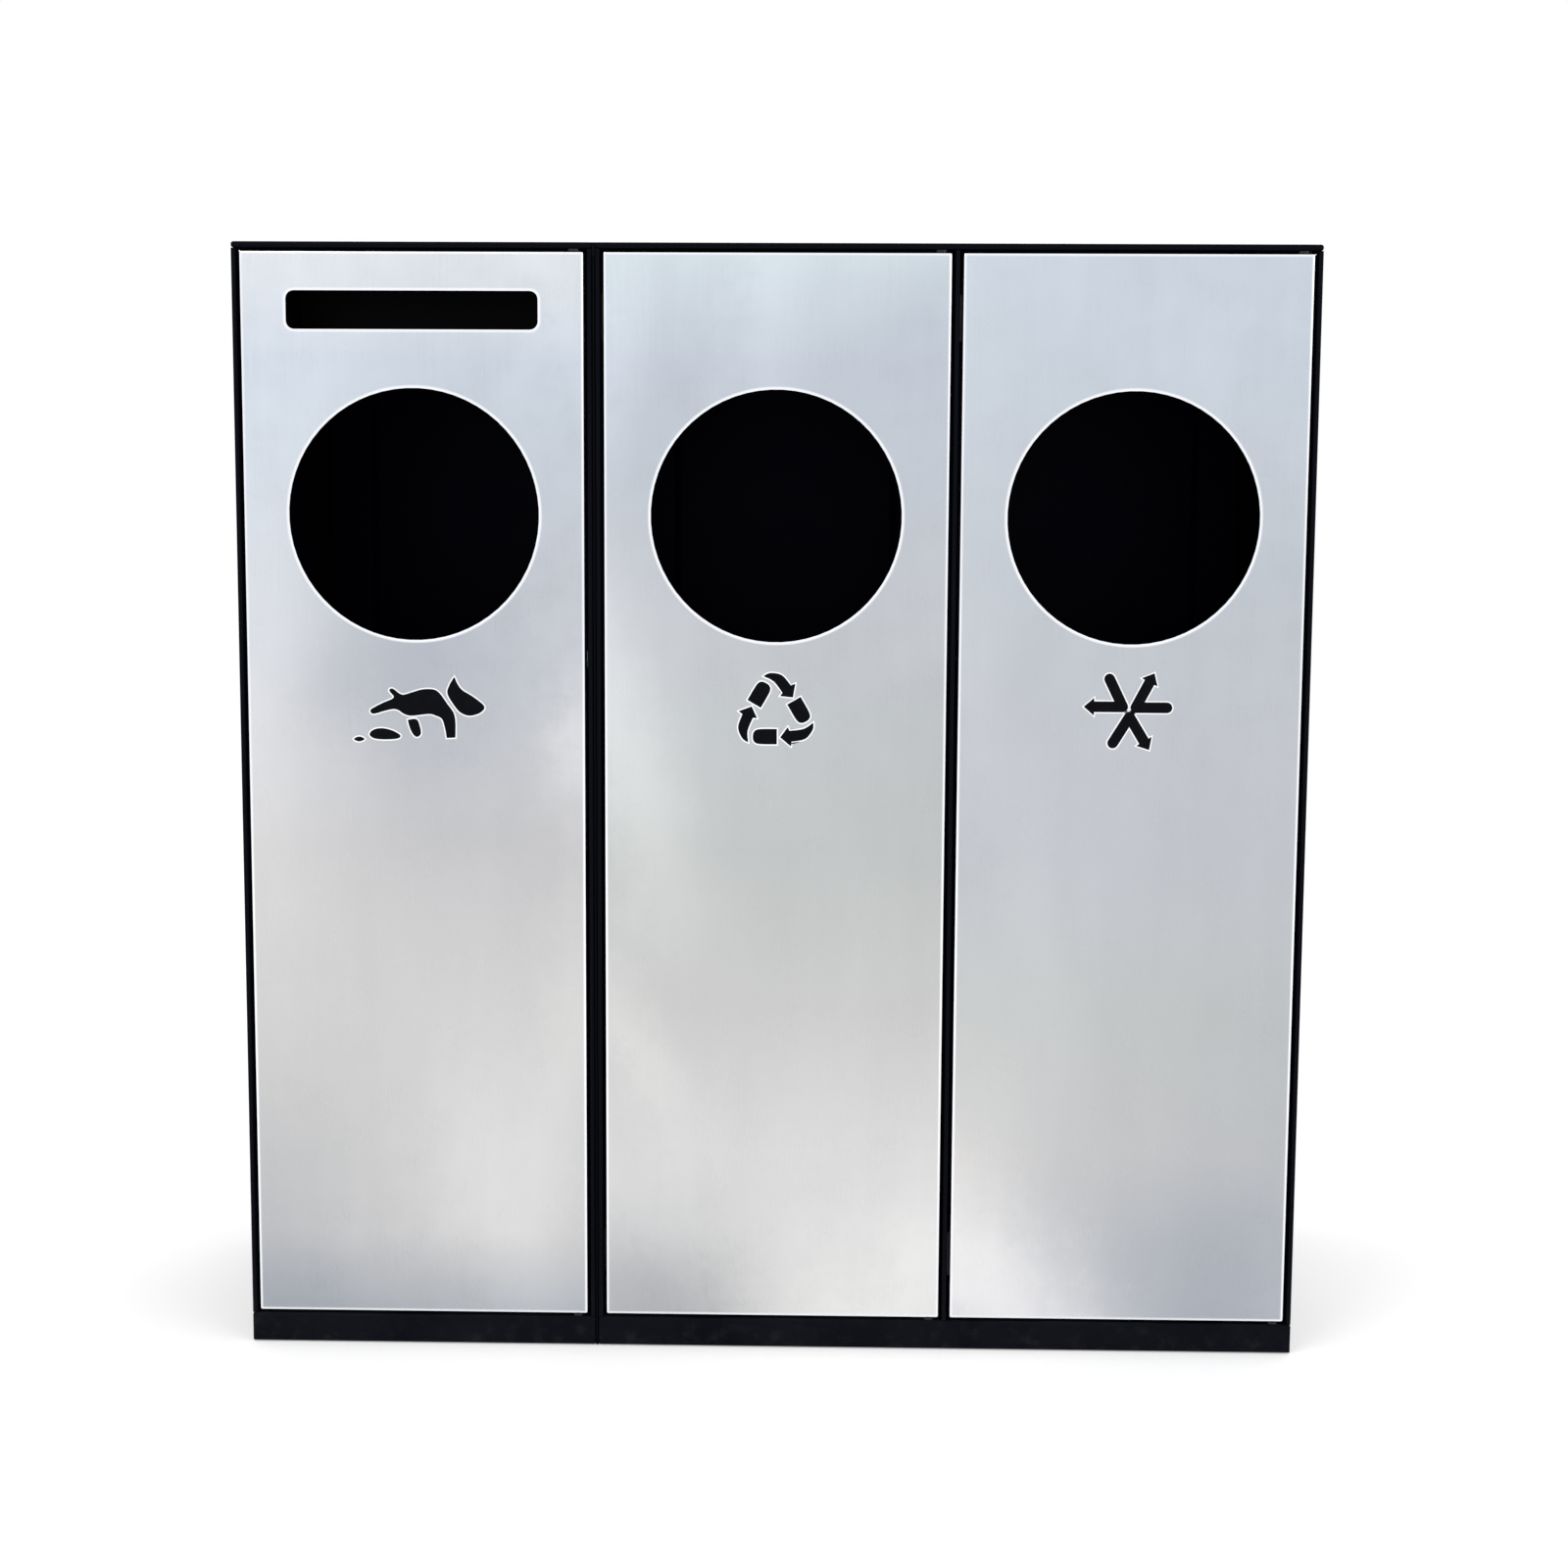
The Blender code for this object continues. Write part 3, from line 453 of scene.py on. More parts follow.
# Finishes ------------------------------------------------------------------------------
@dataclass(frozen=True)
class ReflectionPatch:
    """A broad soft-edged patch of painted reflection, lighter or darker, on a brushed door.

    The tilt is in degrees, counter-clockwise as the door is seen from outside.
    """

    x: float
    z: float
    half_width: float
    half_height: float
    tilt: float
    lift: float

    def spread(self, x: Value, z: Value) -> Value:
        """Gain that the patch adds at a place.

        Args:
            x: place across the station.
            z: height.

        Returns:
            The added gain, greatest at the patch's middle.
        """
        cosine, sine = math.cos(math.radians(self.tilt)), math.sin(math.radians(self.tilt))
        across = ((x - self.x) * cosine + (z - self.z) * sine) / self.half_width
        up = ((z - self.z) * cosine - (x - self.x) * sine) / self.half_height
        return (0.0 - (across * across + up * up)).maths("EXPONENT") * self.lift


@dataclass(frozen=True)
class Opening:
    """A hole in a door front, round which a painted highlight line runs."""

    x: float
    z: float
    half_width: float
    half_height: float
    corner: float

    def distance(self, x: Value, z: Value) -> Value:
        """Distance outside the hole's edge.

        Args:
            x: place across the station.
            z: height.

        Returns:
            Metres outside the edge, negative inside it.
        """
        across = (abs(x - self.x) - (self.half_width - self.corner)).highest(0.0)
        up = (abs(z - self.z) - (self.half_height - self.corner)).highest(0.0)
        return (across * across + up * up).maths("SQRT") - self.corner


# Share of a painted reflection patch's lift that each channel takes, where it darkens and lightens.
DARK_CAST: Colour = (1.12, 1.0, 0.8)
LIGHT_CAST: Colour = (1.03, 1.0, 0.94)


@dataclass(frozen=True)
class BrushedSteel:
    """Vertically brushed stainless steel with a painted reflection and painted edge highlights."""

    name: str
    left: float
    right: float
    bottom: float
    top: float
    face: float
    openings: tuple[Opening, ...]
    # Painted reflection: soft lighter and darker patches, and colours that change from bottom to
    # top.
    patches: tuple[ReflectionPatch, ...]
    tones: Stops
    dark_cast: Colour = DARK_CAST
    light_cast: Colour = LIGHT_CAST
    # Painted highlight: the edge fields draw a near-white line along the door's edges and openings.
    edge_width: float = 3.6 * MM
    edge_depth: float = 1.6 * MM
    edge_core: float = 0.4
    edge_polish: float = 0.08
    edge_highlight_tone: Colour = srgb(246, 248, 252)
    tearing: float = 0.10
    torn_across: Grain = Grain(6.5, 6, 0.78)
    torn_up: Grain = Grain(8.5, 6, 0.78)
    # Painted reflection: this broad noise clouds the colour as the mirrored room would.
    painted_sheen: Grain = Grain(5.5, 3, stretch=(1, 1, 0.55), distortion=0.6)
    painted_sheen_gain: float = 0.16
    mottle: Grain = Grain(26, 4, 0.55)
    mottle_gain: float = 0.07
    mottle_roughness: float = 0.12
    wipe: Grain = Grain(34, 2, stretch=(1, 1, 0.1))
    wipe_gain: float = 0.05
    brushing: Grain = Grain(900, 3, 0.7, (1, 1, 0.012))
    brushing_gain: float = 0.035
    brushing_roughness: float = 0.16
    brushing_depth: float = 0.03 * MM
    brushing_shown: float = 0.35
    scuff: Grain = Grain(190, 3, stretch=(0.25, 1, 1), shown=(0.62, 0.8))
    scuff_roughness: float = 0.05
    roughness: float = 0.3

    def made(self) -> bpy.types.Material:
        """Build the material.

        Returns:
            The finished material.
        """
        graph = Graph.of_material(self.name)
        x, y, z = graph.axes()
        height = (z - self.bottom) / (self.top - self.bottom)
        tone = graph.ramp(height, self.tones)
        mottle = graph.noise(self.mottle)
        brushing = graph.noise(self.brushing)
        # The gain paints reflection clouds over the steel's own mottle, wipe marks and brushing.
        gain = (graph.noise(self.painted_sheen).swayed(self.painted_sheen_gain) + mottle.swayed(self.mottle_gain)
                + graph.noise(self.wipe).swayed(self.wipe_gain)
                + brushing.swayed(self.brushing_gain) + 1.0)
        # Painted reflection: the colour ramp by height times the soft patches.
        reflected_tone = graph.vectors("MULTIPLY", tone, self.painted_reflection_gain(graph, x, z))
        # Painted highlight: a near-white line where the face meets its edges and openings.
        edge = self.edge_highlight(x, z) * (y < self.face + self.edge_depth)
        colour = graph.mix(edge, graph.gained(reflected_tone, gain), self.edge_highlight_tone)
        roughness = (self.roughness + brushing.swayed(self.brushing_roughness)
                     + mottle.swayed(self.mottle_roughness)
                     + graph.noise(self.scuff) * self.scuff_roughness - edge * self.edge_polish)
        graph.bump(brushing, self.brushing_depth, self.brushing_shown)
        return graph.surface(base_color=colour, metallic=1.0, roughness=roughness)

    def painted_reflection_gain(self, graph: Graph, x: Value, z: Value) -> bpy.types.NodeSocket:
        """Gain of the painted reflection patches in each channel, with their borders torn by noise.

        Args:
            graph: the material in the making.
            x: place across the station.
            z: height.

        Returns:
            The gain, as a vector.
        """
        torn_x = x + graph.noise(self.torn_across).swayed(self.tearing)
        torn_z = z + graph.noise(self.torn_up).swayed(self.tearing)
        lift = sum((patch.spread(torn_x, torn_z) for patch in self.patches), 0.0 * x)
        dark = graph.vectors("MULTIPLY_ADD", graph.spread(lift.lowest(0.0)), self.dark_cast,
                             (1.0, 1.0, 1.0))
        return graph.vectors("MULTIPLY_ADD", graph.spread(lift.highest(0.0)), self.light_cast,
                             dark)

    def edge_highlight(self, x: Value, z: Value) -> Value:
        """Mask of the painted highlight line round the door and its openings.

        Args:
            x: place across the station.
            z: height.

        Returns:
            1 on the line, 0 elsewhere.
        """
        nearest = (x - self.left).lowest(self.right - x)
        nearest = nearest.lowest((z - self.bottom).lowest(self.top - z))
        for opening in self.openings:
            nearest = nearest.lowest(abs(opening.distance(x, z)))
        return 1.0 - nearest.ramped(self.edge_width * self.edge_core, self.edge_width)


@dataclass(frozen=True)
class PowderCoat:
    """Fine-textured black powder coat on folded steel, splashed low down and dusty on top."""

    name: str
    tone: Colour = srgb(2, 4, 12)
    # Painted shade: inside the bays the coat takes a bluer black, for the blue cast of their shade.
    inner: Colour = srgb(2, 6, 32)
    dust: Colour = srgb(36, 38, 44)
    splash: Colour = srgb(52, 52, 51)
    dust_height: float = 0.11
    low_dust: float = 0.3
    top_dust: float = 0.35
    dusty_cloud: Span = (0.2, 0.85)
    speck: Grain = Grain(420, 3, shown=(0.66, 0.76))
    speck_share: float = 0.12
    splash_height: float = 0.045
    splatter: Grain = Grain(70, 5, 0.65, shown=(0.48, 0.78))
    splash_share: float = 0.35
    cloud: Grain = Grain(9, 4, distortion=0.4)
    cloud_gain: Span = (0.85, 0.3)
    peel: Grain = Grain(1500)
    peel_depth: float = 0.05 * MM
    peel_shown: float = 0.35
    roughness: float = 0.44
    cloud_roughness: float = 0.12
    dust_roughness: float = 0.2
    gloss: float = 0.05
    mouth: Span = (15 * MM, 30 * MM)
    half_wall: float = 1.0 * MM
    wall_blend: float = 0.1 * MM

    def inside(self, graph: Graph, x: Value, y: Value) -> Value:
        """Find the faces that look into the bays, where a bluer black paints their shade.

        Args:
            graph: the material in the making.
            x: place across the station.
            y: place from front to back.

        Returns:
            1 in the bays behind their mouth, 0 on the outside.
        """
        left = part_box("single_side_left")[0].x + self.half_wall
        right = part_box("double_side_right")[1].x - self.half_wall
        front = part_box("single_base")[0].y
        between = (x.ramped(left - self.wall_blend, left)
                   * (1.0 - x.ramped(right, right + self.wall_blend)))
        outward = (graph.facing("Y") + graph.facing("Z")).clamped()
        behind = y.ramped(front + self.mouth[0], front + self.mouth[1])
        return between * behind * (1.0 - outward)

    def made(self) -> bpy.types.Material:
        """Build the material.

        Returns:
            The finished material.
        """
        graph = Graph.of_material(self.name)
        x, y, z = graph.axes()
        cloud = graph.noise(self.cloud)
        low = 1.0 - z.ramped(0.0, self.dust_height)
        settled = low * self.low_dust + graph.facing("Z") * self.top_dust
        settled = settled * cloud.ramped(*self.dusty_cloud)
        dusty = (settled + graph.noise(self.speck) * self.speck_share).clamped()
        # Painted shade: faces inside the bays take the bluer inner colour.
        coat = graph.mix(self.inside(graph, x, y), self.tone, self.inner)
        darkest, span = self.cloud_gain
        tone = graph.gained(coat, darkest + cloud * span)
        foot = 1.0 - z.ramped(0.0, self.splash_height)
        splashed = graph.noise(self.splatter) * foot * self.splash_share
        shown = graph.mix(splashed, graph.mix(dusty, tone, self.dust), self.splash)
        graph.bump(graph.noise(self.peel), self.peel_depth, self.peel_shown)
        roughness = (self.roughness + cloud.swayed(self.cloud_roughness)
                     + dusty * self.dust_roughness)
        return graph.surface(base_color=shown, roughness=roughness,
                             specular_ior_level=self.gloss)


@dataclass(frozen=True)
class GalvanisedSheet:
    """Hot-dip galvanised sheet with its spangle and dull scuffs."""

    name: str
    tone: Colour = srgb(168, 172, 176)
    spangle: float = 90.0
    spangle_gain: Span = (0.82, 0.3)
    spangle_roughness: float = 0.16
    spangle_depth: float = 0.02 * MM
    spangle_shown: float = 0.4
    haze: Grain = Grain(14, 4)
    haze_gain: float = 0.2
    scuff: Grain = Grain(160, 4, stretch=(1, 1, 0.2), shown=(0.6, 0.78))
    scuff_gain: float = 0.12
    scuff_roughness: float = 0.15
    roughness: float = 0.34
    metallic: float = 0.9

    def made(self) -> bpy.types.Material:
        """Build the material.

        Returns:
            The finished material.
        """
        graph = Graph.of_material(self.name)
        leaf = graph.cells(self.spangle)
        scuff = graph.noise(self.scuff)
        darkest, span = self.spangle_gain
        gain = (darkest + leaf * span + graph.noise(self.haze).swayed(self.haze_gain)
                - scuff * self.scuff_gain)
        roughness = (self.roughness + leaf * self.spangle_roughness
                     + scuff * self.scuff_roughness)
        graph.bump(leaf, self.spangle_depth, self.spangle_shown)
        return graph.surface(base_color=graph.gained(self.tone, gain), metallic=self.metallic,
                             roughness=roughness)


@dataclass(frozen=True)
class ZincPlate:
    """Bright zinc plating on wire, pins and screws, with a faint blue passivation."""

    name: str
    tone: Colour = srgb(186, 192, 200)
    tint: Colour = srgb(196, 190, 168)
    film: Grain = Grain(55, 3, shown=(0.35, 0.8))
    film_share: float = 0.5
    rubbed: Grain = Grain(120, 4, shown=(0.6, 0.75))
    rubbed_gain: float = 0.25
    rubbed_roughness: float = 0.2
    drawn: Grain = Grain(700)
    drawn_roughness: float = 0.1
    drawn_depth: float = 0.02 * MM
    drawn_shown: float = 0.4
    roughness: float = 0.24

    def made(self) -> bpy.types.Material:
        """Build the material.

        Returns:
            The finished material.
        """
        graph = Graph.of_material(self.name)
        drawn = graph.noise(self.drawn)
        rubbed = graph.noise(self.rubbed)
        filmed = graph.mix(graph.noise(self.film) * self.film_share, self.tone, self.tint)
        roughness = (self.roughness + rubbed * self.rubbed_roughness
                     + drawn.swayed(self.drawn_roughness))
        graph.bump(drawn, self.drawn_depth, self.drawn_shown)
        return graph.surface(base_color=graph.gained(filmed, 1.0 - rubbed * self.rubbed_gain),
                             metallic=1.0, roughness=roughness)


@dataclass(frozen=True)
class MouldedPolymer:
    """Moulded plastic or rubber with a fine skin, mottled a little."""

    name: str
    tone: Colour
    roughness: float
    gloss: float = 0.4
    skin: Grain = Grain(1200)
    skin_depth: float = 0.04 * MM
    skin_shown: float = 0.4
    bloom: Grain = Grain(60, 3)
    bloom_gain: Span = (0.88, 0.2)
    bloom_roughness: float = 0.15
    rubbed: Grain = Grain(240, 3, shown=(0.6, 0.8))
    rubbed_gain: float = 0.15
    rubbed_roughness: float = 0.06

    def made(self) -> bpy.types.Material:
        """Build the material.

        Returns:
            The finished material.
        """
        graph = Graph.of_material(self.name)
        bloom = graph.noise(self.bloom)
        rubbed = graph.noise(self.rubbed)
        darkest, span = self.bloom_gain
        gain = darkest + bloom * span + rubbed * self.rubbed_gain
        roughness = (self.roughness + bloom.swayed(self.bloom_roughness)
                     - rubbed * self.rubbed_roughness)
        graph.bump(graph.noise(self.skin), self.skin_depth, self.skin_shown)
        return graph.surface(base_color=graph.gained(self.tone, gain), roughness=roughness,
                             specular_ior_level=self.gloss)


@dataclass(frozen=True)
class SignFilm:
    """Matt black cut film, slightly greyed where cleaning has rubbed it."""

    name: str
    tone: Colour = srgb(4, 5, 10)
    rubbed: Colour = srgb(14, 16, 22)
    wear: Grain = Grain(75, 4, shown=(0.45, 0.8))
    wear_share: float = 0.6
    wear_roughness: float = 0.15
    weave: Grain = Grain(1400, 1)
    weave_depth: float = 0.02 * MM
    weave_shown: float = 0.3
    roughness: float = 0.5
    gloss: float = 0.06

    def made(self) -> bpy.types.Material:
        """Build the material.

        Returns:
            The finished material.
        """
        graph = Graph.of_material(self.name)
        wear = graph.noise(self.wear)
        graph.bump(graph.noise(self.weave), self.weave_depth, self.weave_shown)
        return graph.surface(
            base_color=graph.mix(wear * self.wear_share, self.tone, self.rubbed),
            roughness=self.roughness + wear * self.wear_roughness, specular_ior_level=self.gloss)


# Mesh making ---------------------------------------------------------------------------
ARC_STEPS = 6
# Two places nearer than this are one.
SAME_PLACE = 1e-7
# Least share of an edge's normal that is left in a corner's, which keeps sharp corners short.
SHARPEST_MITRE = 0.6
# Angle from which an edge stays hard.
CREASE = math.radians(35)
BACKWARD = Vector((0, 1, 0))
RIGHTWARD = Vector((1, 0, 0))


def smoothed(points: Sequence[Point], steps: int = 4) -> list[Point]:
    """Run a closed curve through points.

    Args:
        points: places in order; one given twice running stays a sharp corner.
        steps: pieces between two points.

    Returns:
        The places along the curve.
    """
    curve: list[Point] = []
    count = len(points)
    for i in range(count):
        before, start, end, after = (Vector(points[(i + k) % count]) for k in (-1, 0, 1, 2))
        if (end - start).length < SAME_PLACE:
            continue
        for step in range(steps):
            t = step / steps
            place = 0.5 * (2 * start + (end - before) * t
                           + (2 * before - 5 * start + 4 * end - after) * t * t
                           + (3 * start - before - 3 * end + after) * t ** 3)
            curve.append((place.x, place.y))
    return curve


def arc(centre: Vector, radius: float, start: float, end: float) -> list[Point]:
    """Points along an arc.

    Args:
        centre: its middle.
        radius: its radius.
        start: first angle, in degrees.
        end: last angle, in degrees.

    Returns:
        The points, ends included.
    """
    angles = [math.radians(start + (end - start) * i / ARC_STEPS) for i in range(ARC_STEPS + 1)]
    return [(centre.x + radius * math.cos(a), centre.y + radius * math.sin(a)) for a in angles]


def turned_by(points: Iterable[Point], degrees: float, centre: Point) -> list[Point]:
    """Turn points about a centre.

    Args:
        points: the places.
        degrees: counter-clockwise turn.
        centre: the place that stays.

    Returns:
        The turned places.
    """
    turn = Matrix.Rotation(math.radians(degrees), 2)
    middle = Vector(centre)
    return [tuple(middle + turn @ (Vector(point) - middle)) for point in points]


def widened(points: Sequence[Point], margin: float) -> list[Point]:
    """Move an outline outwards by a margin.

    Args:
        points: the closed outline, counter-clockwise or clockwise.
        margin: how far it moves.

    Returns:
        The wider outline.
    """
    ring = [Vector(point) for point in points]
    area = sum(a.x * b.y - b.x * a.y for a, b in zip(ring, ring[1:] + ring[:1]))
    side = 1 if area > 0 else -1
    wide = []
    for before, here, after in zip(ring[-1:] + ring[:-1], ring, ring[1:] + ring[:1]):
        normals = [Vector((edge.y, -edge.x)).normalized() for edge in (here - before, after - here)]
        out = (normals[0] + normals[1]) * 0.5
        reach = margin / max(out.length, SHARPEST_MITRE)
        wide.append(tuple(here + out.normalized() * reach * side))
    return wide


def add_mesh(name: str, mesh: bmesh.types.BMesh,
             material: bpy.types.Material) -> bpy.types.Object:
    """Put a mesh in the making in the scene.

    Args:
        name: the new object's name.
        mesh: the geometry, in metres; it is freed.
        material: its material.

    Returns:
        The new object.
    """
    data = bpy.data.meshes.new(name)
    mesh.to_mesh(data)
    mesh.free()
    data.materials.append(material)
    item = bpy.data.objects.new(name, data)
    bpy.context.scene.collection.objects.link(item)
    return item


def add_piece(name: str, mesh: bmesh.types.BMesh, body: str,
              material: bpy.types.Material) -> None:
    """Turn a mesh in the making into a piece that rides on a body.

    Args:
        name: the piece's name.
        mesh: the geometry, in metres; it is freed.
        body: the body that carries it.
        material: its material.
    """
    bmesh.ops.recalc_face_normals(mesh, faces=mesh.faces)
    piece = add_mesh(name, mesh, material)
    piece.data.shade_smooth()
    piece.data.set_sharp_from_angle(angle=CREASE)
    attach(piece, body)
    log.info("piece %s rides on %s: %d faces", name, body, len(piece.data.polygons))


def add_prism(mesh: bmesh.types.BMesh, corners: Sequence[Vector], reach: Vector) -> None:
    """Add the solid that a flat outline sweeps as it moves straight on.

    Args:
        mesh: the mesh in the making.
        corners: the outline, in metres.
        reach: how far and which way it moves.
    """
    face = mesh.faces.new([mesh.verts.new(corner) for corner in corners])
    grown = bmesh.ops.extrude_face_region(mesh, geom=[face])
    ends = [item for item in grown["geom"] if isinstance(item, bmesh.types.BMVert)]
    bmesh.ops.translate(mesh, verts=ends, vec=reach)


def add_plate(mesh: bmesh.types.BMesh, outline: Sequence[Point], front: float,
              thickness: float) -> None:
    """Add a flat plate that faces -Y.

    Args:
        mesh: the mesh in the making.
        outline: x and z of its corners, in metres.
        front: y of its outer face.
        thickness: how far it reaches back.
    """
    add_prism(mesh, [Vector((x, front, z)) for x, z in outline], Vector((0, thickness, 0)))


def add_turned(mesh: bmesh.types.BMesh, profile: Sequence[Point], base: Vector,
               axis: Vector, sides: int = 20) -> None:
    """Add a solid of revolution.

    Args:
        mesh: the mesh in the making.
        profile: (radius, height) pairs from the rim's foot to the middle of the top.
        base: place of height 0 on the axis.
        axis: direction of rising height.
        sides: facets round it.
    """
    turn = axis.to_track_quat("Z", "Y")
    rings = []
    for radius, height in profile:
        count = sides if radius > SAME_PLACE else 1
        ring = []
        for i in range(count):
            angle = 2 * math.pi * i / sides
            ring.append(mesh.verts.new(base + turn @ Vector(
                (radius * math.cos(angle), radius * math.sin(angle), height))))
        rings.append(ring)
    mesh.faces.new(rings[0])
    for low, high in zip(rings, rings[1:]):
        for i in range(sides):
            j = (i + 1) % sides
            if len(high) == 1:
                mesh.faces.new((low[i], low[j], high[0]))
            else:
                mesh.faces.new((low[i], low[j], high[j], high[i]))


# Signs ---------------------------------------------------------------------------------
@dataclass(frozen=True)
class Sign:
    """A cut-film pictogram with a near-white margin round it, on a door's face."""

    bay: Bay
    centre_x: float
    face_y: float
    backing: float = 0.1 * MM
    film: float = 0.2 * MM
    swell: float = 0.4 * MM
    margin: float = 1.7 * MM

    def outlines(self) -> list[list[Point]]:
        """Closed outlines of the film, in millimetres from the door's middle and the ground."""
        raise NotImplementedError

    def build(self, film: bpy.types.Material, margin: bpy.types.Material) -> None:
        """Make the film and its margin.

        Args:
            film: material of the black film.
            margin: material of the bright margin.
        """
        rings = [[(self.centre_x + x * MM, z * MM) for x, z in outline]
                 for outline in self.outlines()]
        layers = (("margin", self.margin, self.backing, self.backing, "stainless", margin),
                  ("film", self.swell, self.backing + self.film, self.film, "dark_frame", film))
        for part, growth, reach, thickness, slot, material in layers:
            layer = bmesh.new()
            for ring in rings:
                add_plate(layer, widened(ring, growth), self.face_y - reach, thickness)
            add_piece(f"{self.bay.value}_sign_{part}", layer, self.bay.door, material)


@dataclass(frozen=True)
class DogSign(Sign):
    """A squatting dog, for dog waste."""

    def outlines(self) -> list[list[Point]]:
        """Draw the head, the body, a hind leg, and what lies on the ground.

        Returns:
            Their outlines.
        """
        head = smoothed([(37.8, 678.8), (37.8, 678.8), (41.0, 671.7), (45.8, 665.9),
                         (56.0, 659.7), (66.8, 650.6), (63.1, 644.6), (53.4, 641.5),
                         (44.9, 643.9), (38.9, 649.9), (31.4, 662.4), (33.1, 670.8)])
        body = smoothed([(-26.2, 665.4), (-23.0, 667.0), (-14.3, 661.2), (-4.5, 663.5),
                         (6.4, 666.6), (17.3, 666.5), (23.3, 662.5), (30.5, 652.3),
                         (36.5, 643.8), (38.2, 634.0), (38.0, 619.8), (38.0, 619.8),
                         (30.1, 619.3), (30.1, 619.3), (28.4, 629.2), (25.5, 638.0),
                         (19.4, 641.3), (12.2, 643.0), (-4.8, 641.1), (-12.1, 642.9),
                         (-17.5, 646.5), (-23.0, 647.6), (-31.5, 645.8), (-42.4, 642.8),
                         (-45.3, 645.7), (-41.1, 648.9), (-32.6, 653.2), (-21.8, 658.6)])
        leg = smoothed([(-8.2, 636.4), (-8.2, 636.4), (-0.2, 637.0), (2.9, 630.2),
                        (3.7, 622.8), (-0.2, 620.2), (-3.8, 623.5), (-6.8, 630.2)])
        heap = smoothed([(-46.4, 622.2), (-42.7, 626.3), (-35.4, 627.9), (-26.9, 626.6),
                         (-19.6, 623.4), (-16.4, 620.6), (-19.7, 618.3), (-30.7, 617.5),
                         (-42.0, 618.4)])
        drop = smoothed([(-61.9, 617.3), (-57.0, 619.4), (-52.2, 617.4), (-57.1, 615.3)])
        return [head, body, leg, heap, drop]


@dataclass(frozen=True)
class LoopSign(Sign):
    """Three chasing arrows, for recycling."""

    hub: Point = (-0.2, 645.3)

    def outlines(self) -> list[list[Point]]:
        """Draw one bar and one curved arrow, and turn them into three of each.

        Returns:
            The six outlines.
        """
        bar = smoothed([(-21.6, 622.6), (-20.2, 627.6), (-14.8, 629.7), (1.4, 629.9),
                        (1.4, 629.9), (1.4, 615.5), (1.4, 615.5), (-14.8, 615.6),
                        (-20.2, 617.6)])
        arrow = smoothed([(5.6, 622.0), (5.6, 622.0), (12.4, 631.6), (12.4, 631.6),
                          (13.8, 628.2), (13.8, 628.2), (28.1, 630.2), (37.3, 636.2),
                          (37.3, 636.2), (36.6, 629.6), (29.4, 620.9), (16.0, 618.2),
                          (16.0, 618.2), (15.4, 613.8), (15.4, 613.8)])
        return [turned_by(outline, degrees, self.hub)
                for degrees in (0, -120, -240) for outline in (bar, arrow)]


@dataclass(frozen=True)
class BentArrow:
    """One arrow of two legs that meet in a rounded elbow.

    Angles are in degrees, and the pointed leg lies counter-clockwise of the plain one.
    """

    x: float
    z: float
    plain: float
    pointed: float
    plain_length: float = 30.5
    pointed_length: float = 28.4
    half_width: float = 4.9
    head_length: float = 9.2
    head_half: float = 8.2

    def outline(self) -> list[Point]:
        """Draw the arrow round its elbow and out along both legs.

        Returns:
            Its outline.
        """
        elbow = Vector((self.x, self.z))
        ways = [Vector((math.cos(math.radians(a)), math.sin(math.radians(a))))
                for a in (self.plain, self.pointed)]
        spread = math.radians(self.pointed - self.plain)
        inner = (ways[0] + ways[1]).normalized() * self.half_width / math.sin(spread / 2)
        end = elbow + ways[0] * self.plain_length
        neck = elbow + ways[1] * self.pointed_length
        across = Vector((-ways[1].y, ways[1].x))
        head = [neck + across * self.half_width, neck + across * self.head_half,
                neck + ways[1] * self.head_length, neck - across * self.head_half,
                neck - across * self.half_width]
        cap = arc(end, self.half_width, self.plain + 90, self.plain - 90)
        bend = arc(elbow, self.half_width, self.plain - 90, self.pointed - 270)
        return [tuple(elbow + inner), *cap, *bend, *(tuple(point) for point in head)]


@dataclass(frozen=True)
class ArrowSign(Sign):
    """Three bent arrows that meet, for mixed rubbish."""

    hub: Point = (0.0, 653.5)

    def outlines(self) -> list[list[Point]]:
        """Draw the three bent arrows round the hub.

        Returns:
            Their outlines.
        """
        arrows = (BentArrow(-6.6, 1.0, 116, 180), BentArrow(6.2, 0.4, 0, 62.5),
                  BentArrow(0.2, -8.8, 238.5, 301.5))
        return [[(self.hub[0] + x, self.hub[1] + z) for x, z in arrow.outline()]
                for arrow in arrows]


# Sub-assemblies ------------------------------------------------------------------------
def dress(node: str, material: bpy.types.Material) -> None:
    """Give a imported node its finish.

    Args:
        node: the node's name.
        material: the material for all of it.
    """
    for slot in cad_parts[node].material_slots:
        slot.material = material
    log.info("node %s is %s", node, material.name)


def finish(kind: type, *traits: object, **named: object) -> bpy.types.Material:
    """A field whose material is made along with the object that holds it.

    Args:
        kind: the finish's class.
        traits: its name, then further values in order.
        named: further values by name.

    Returns:
        The field.
    """
    return field(default_factory=lambda: kind(*traits, **named).made())


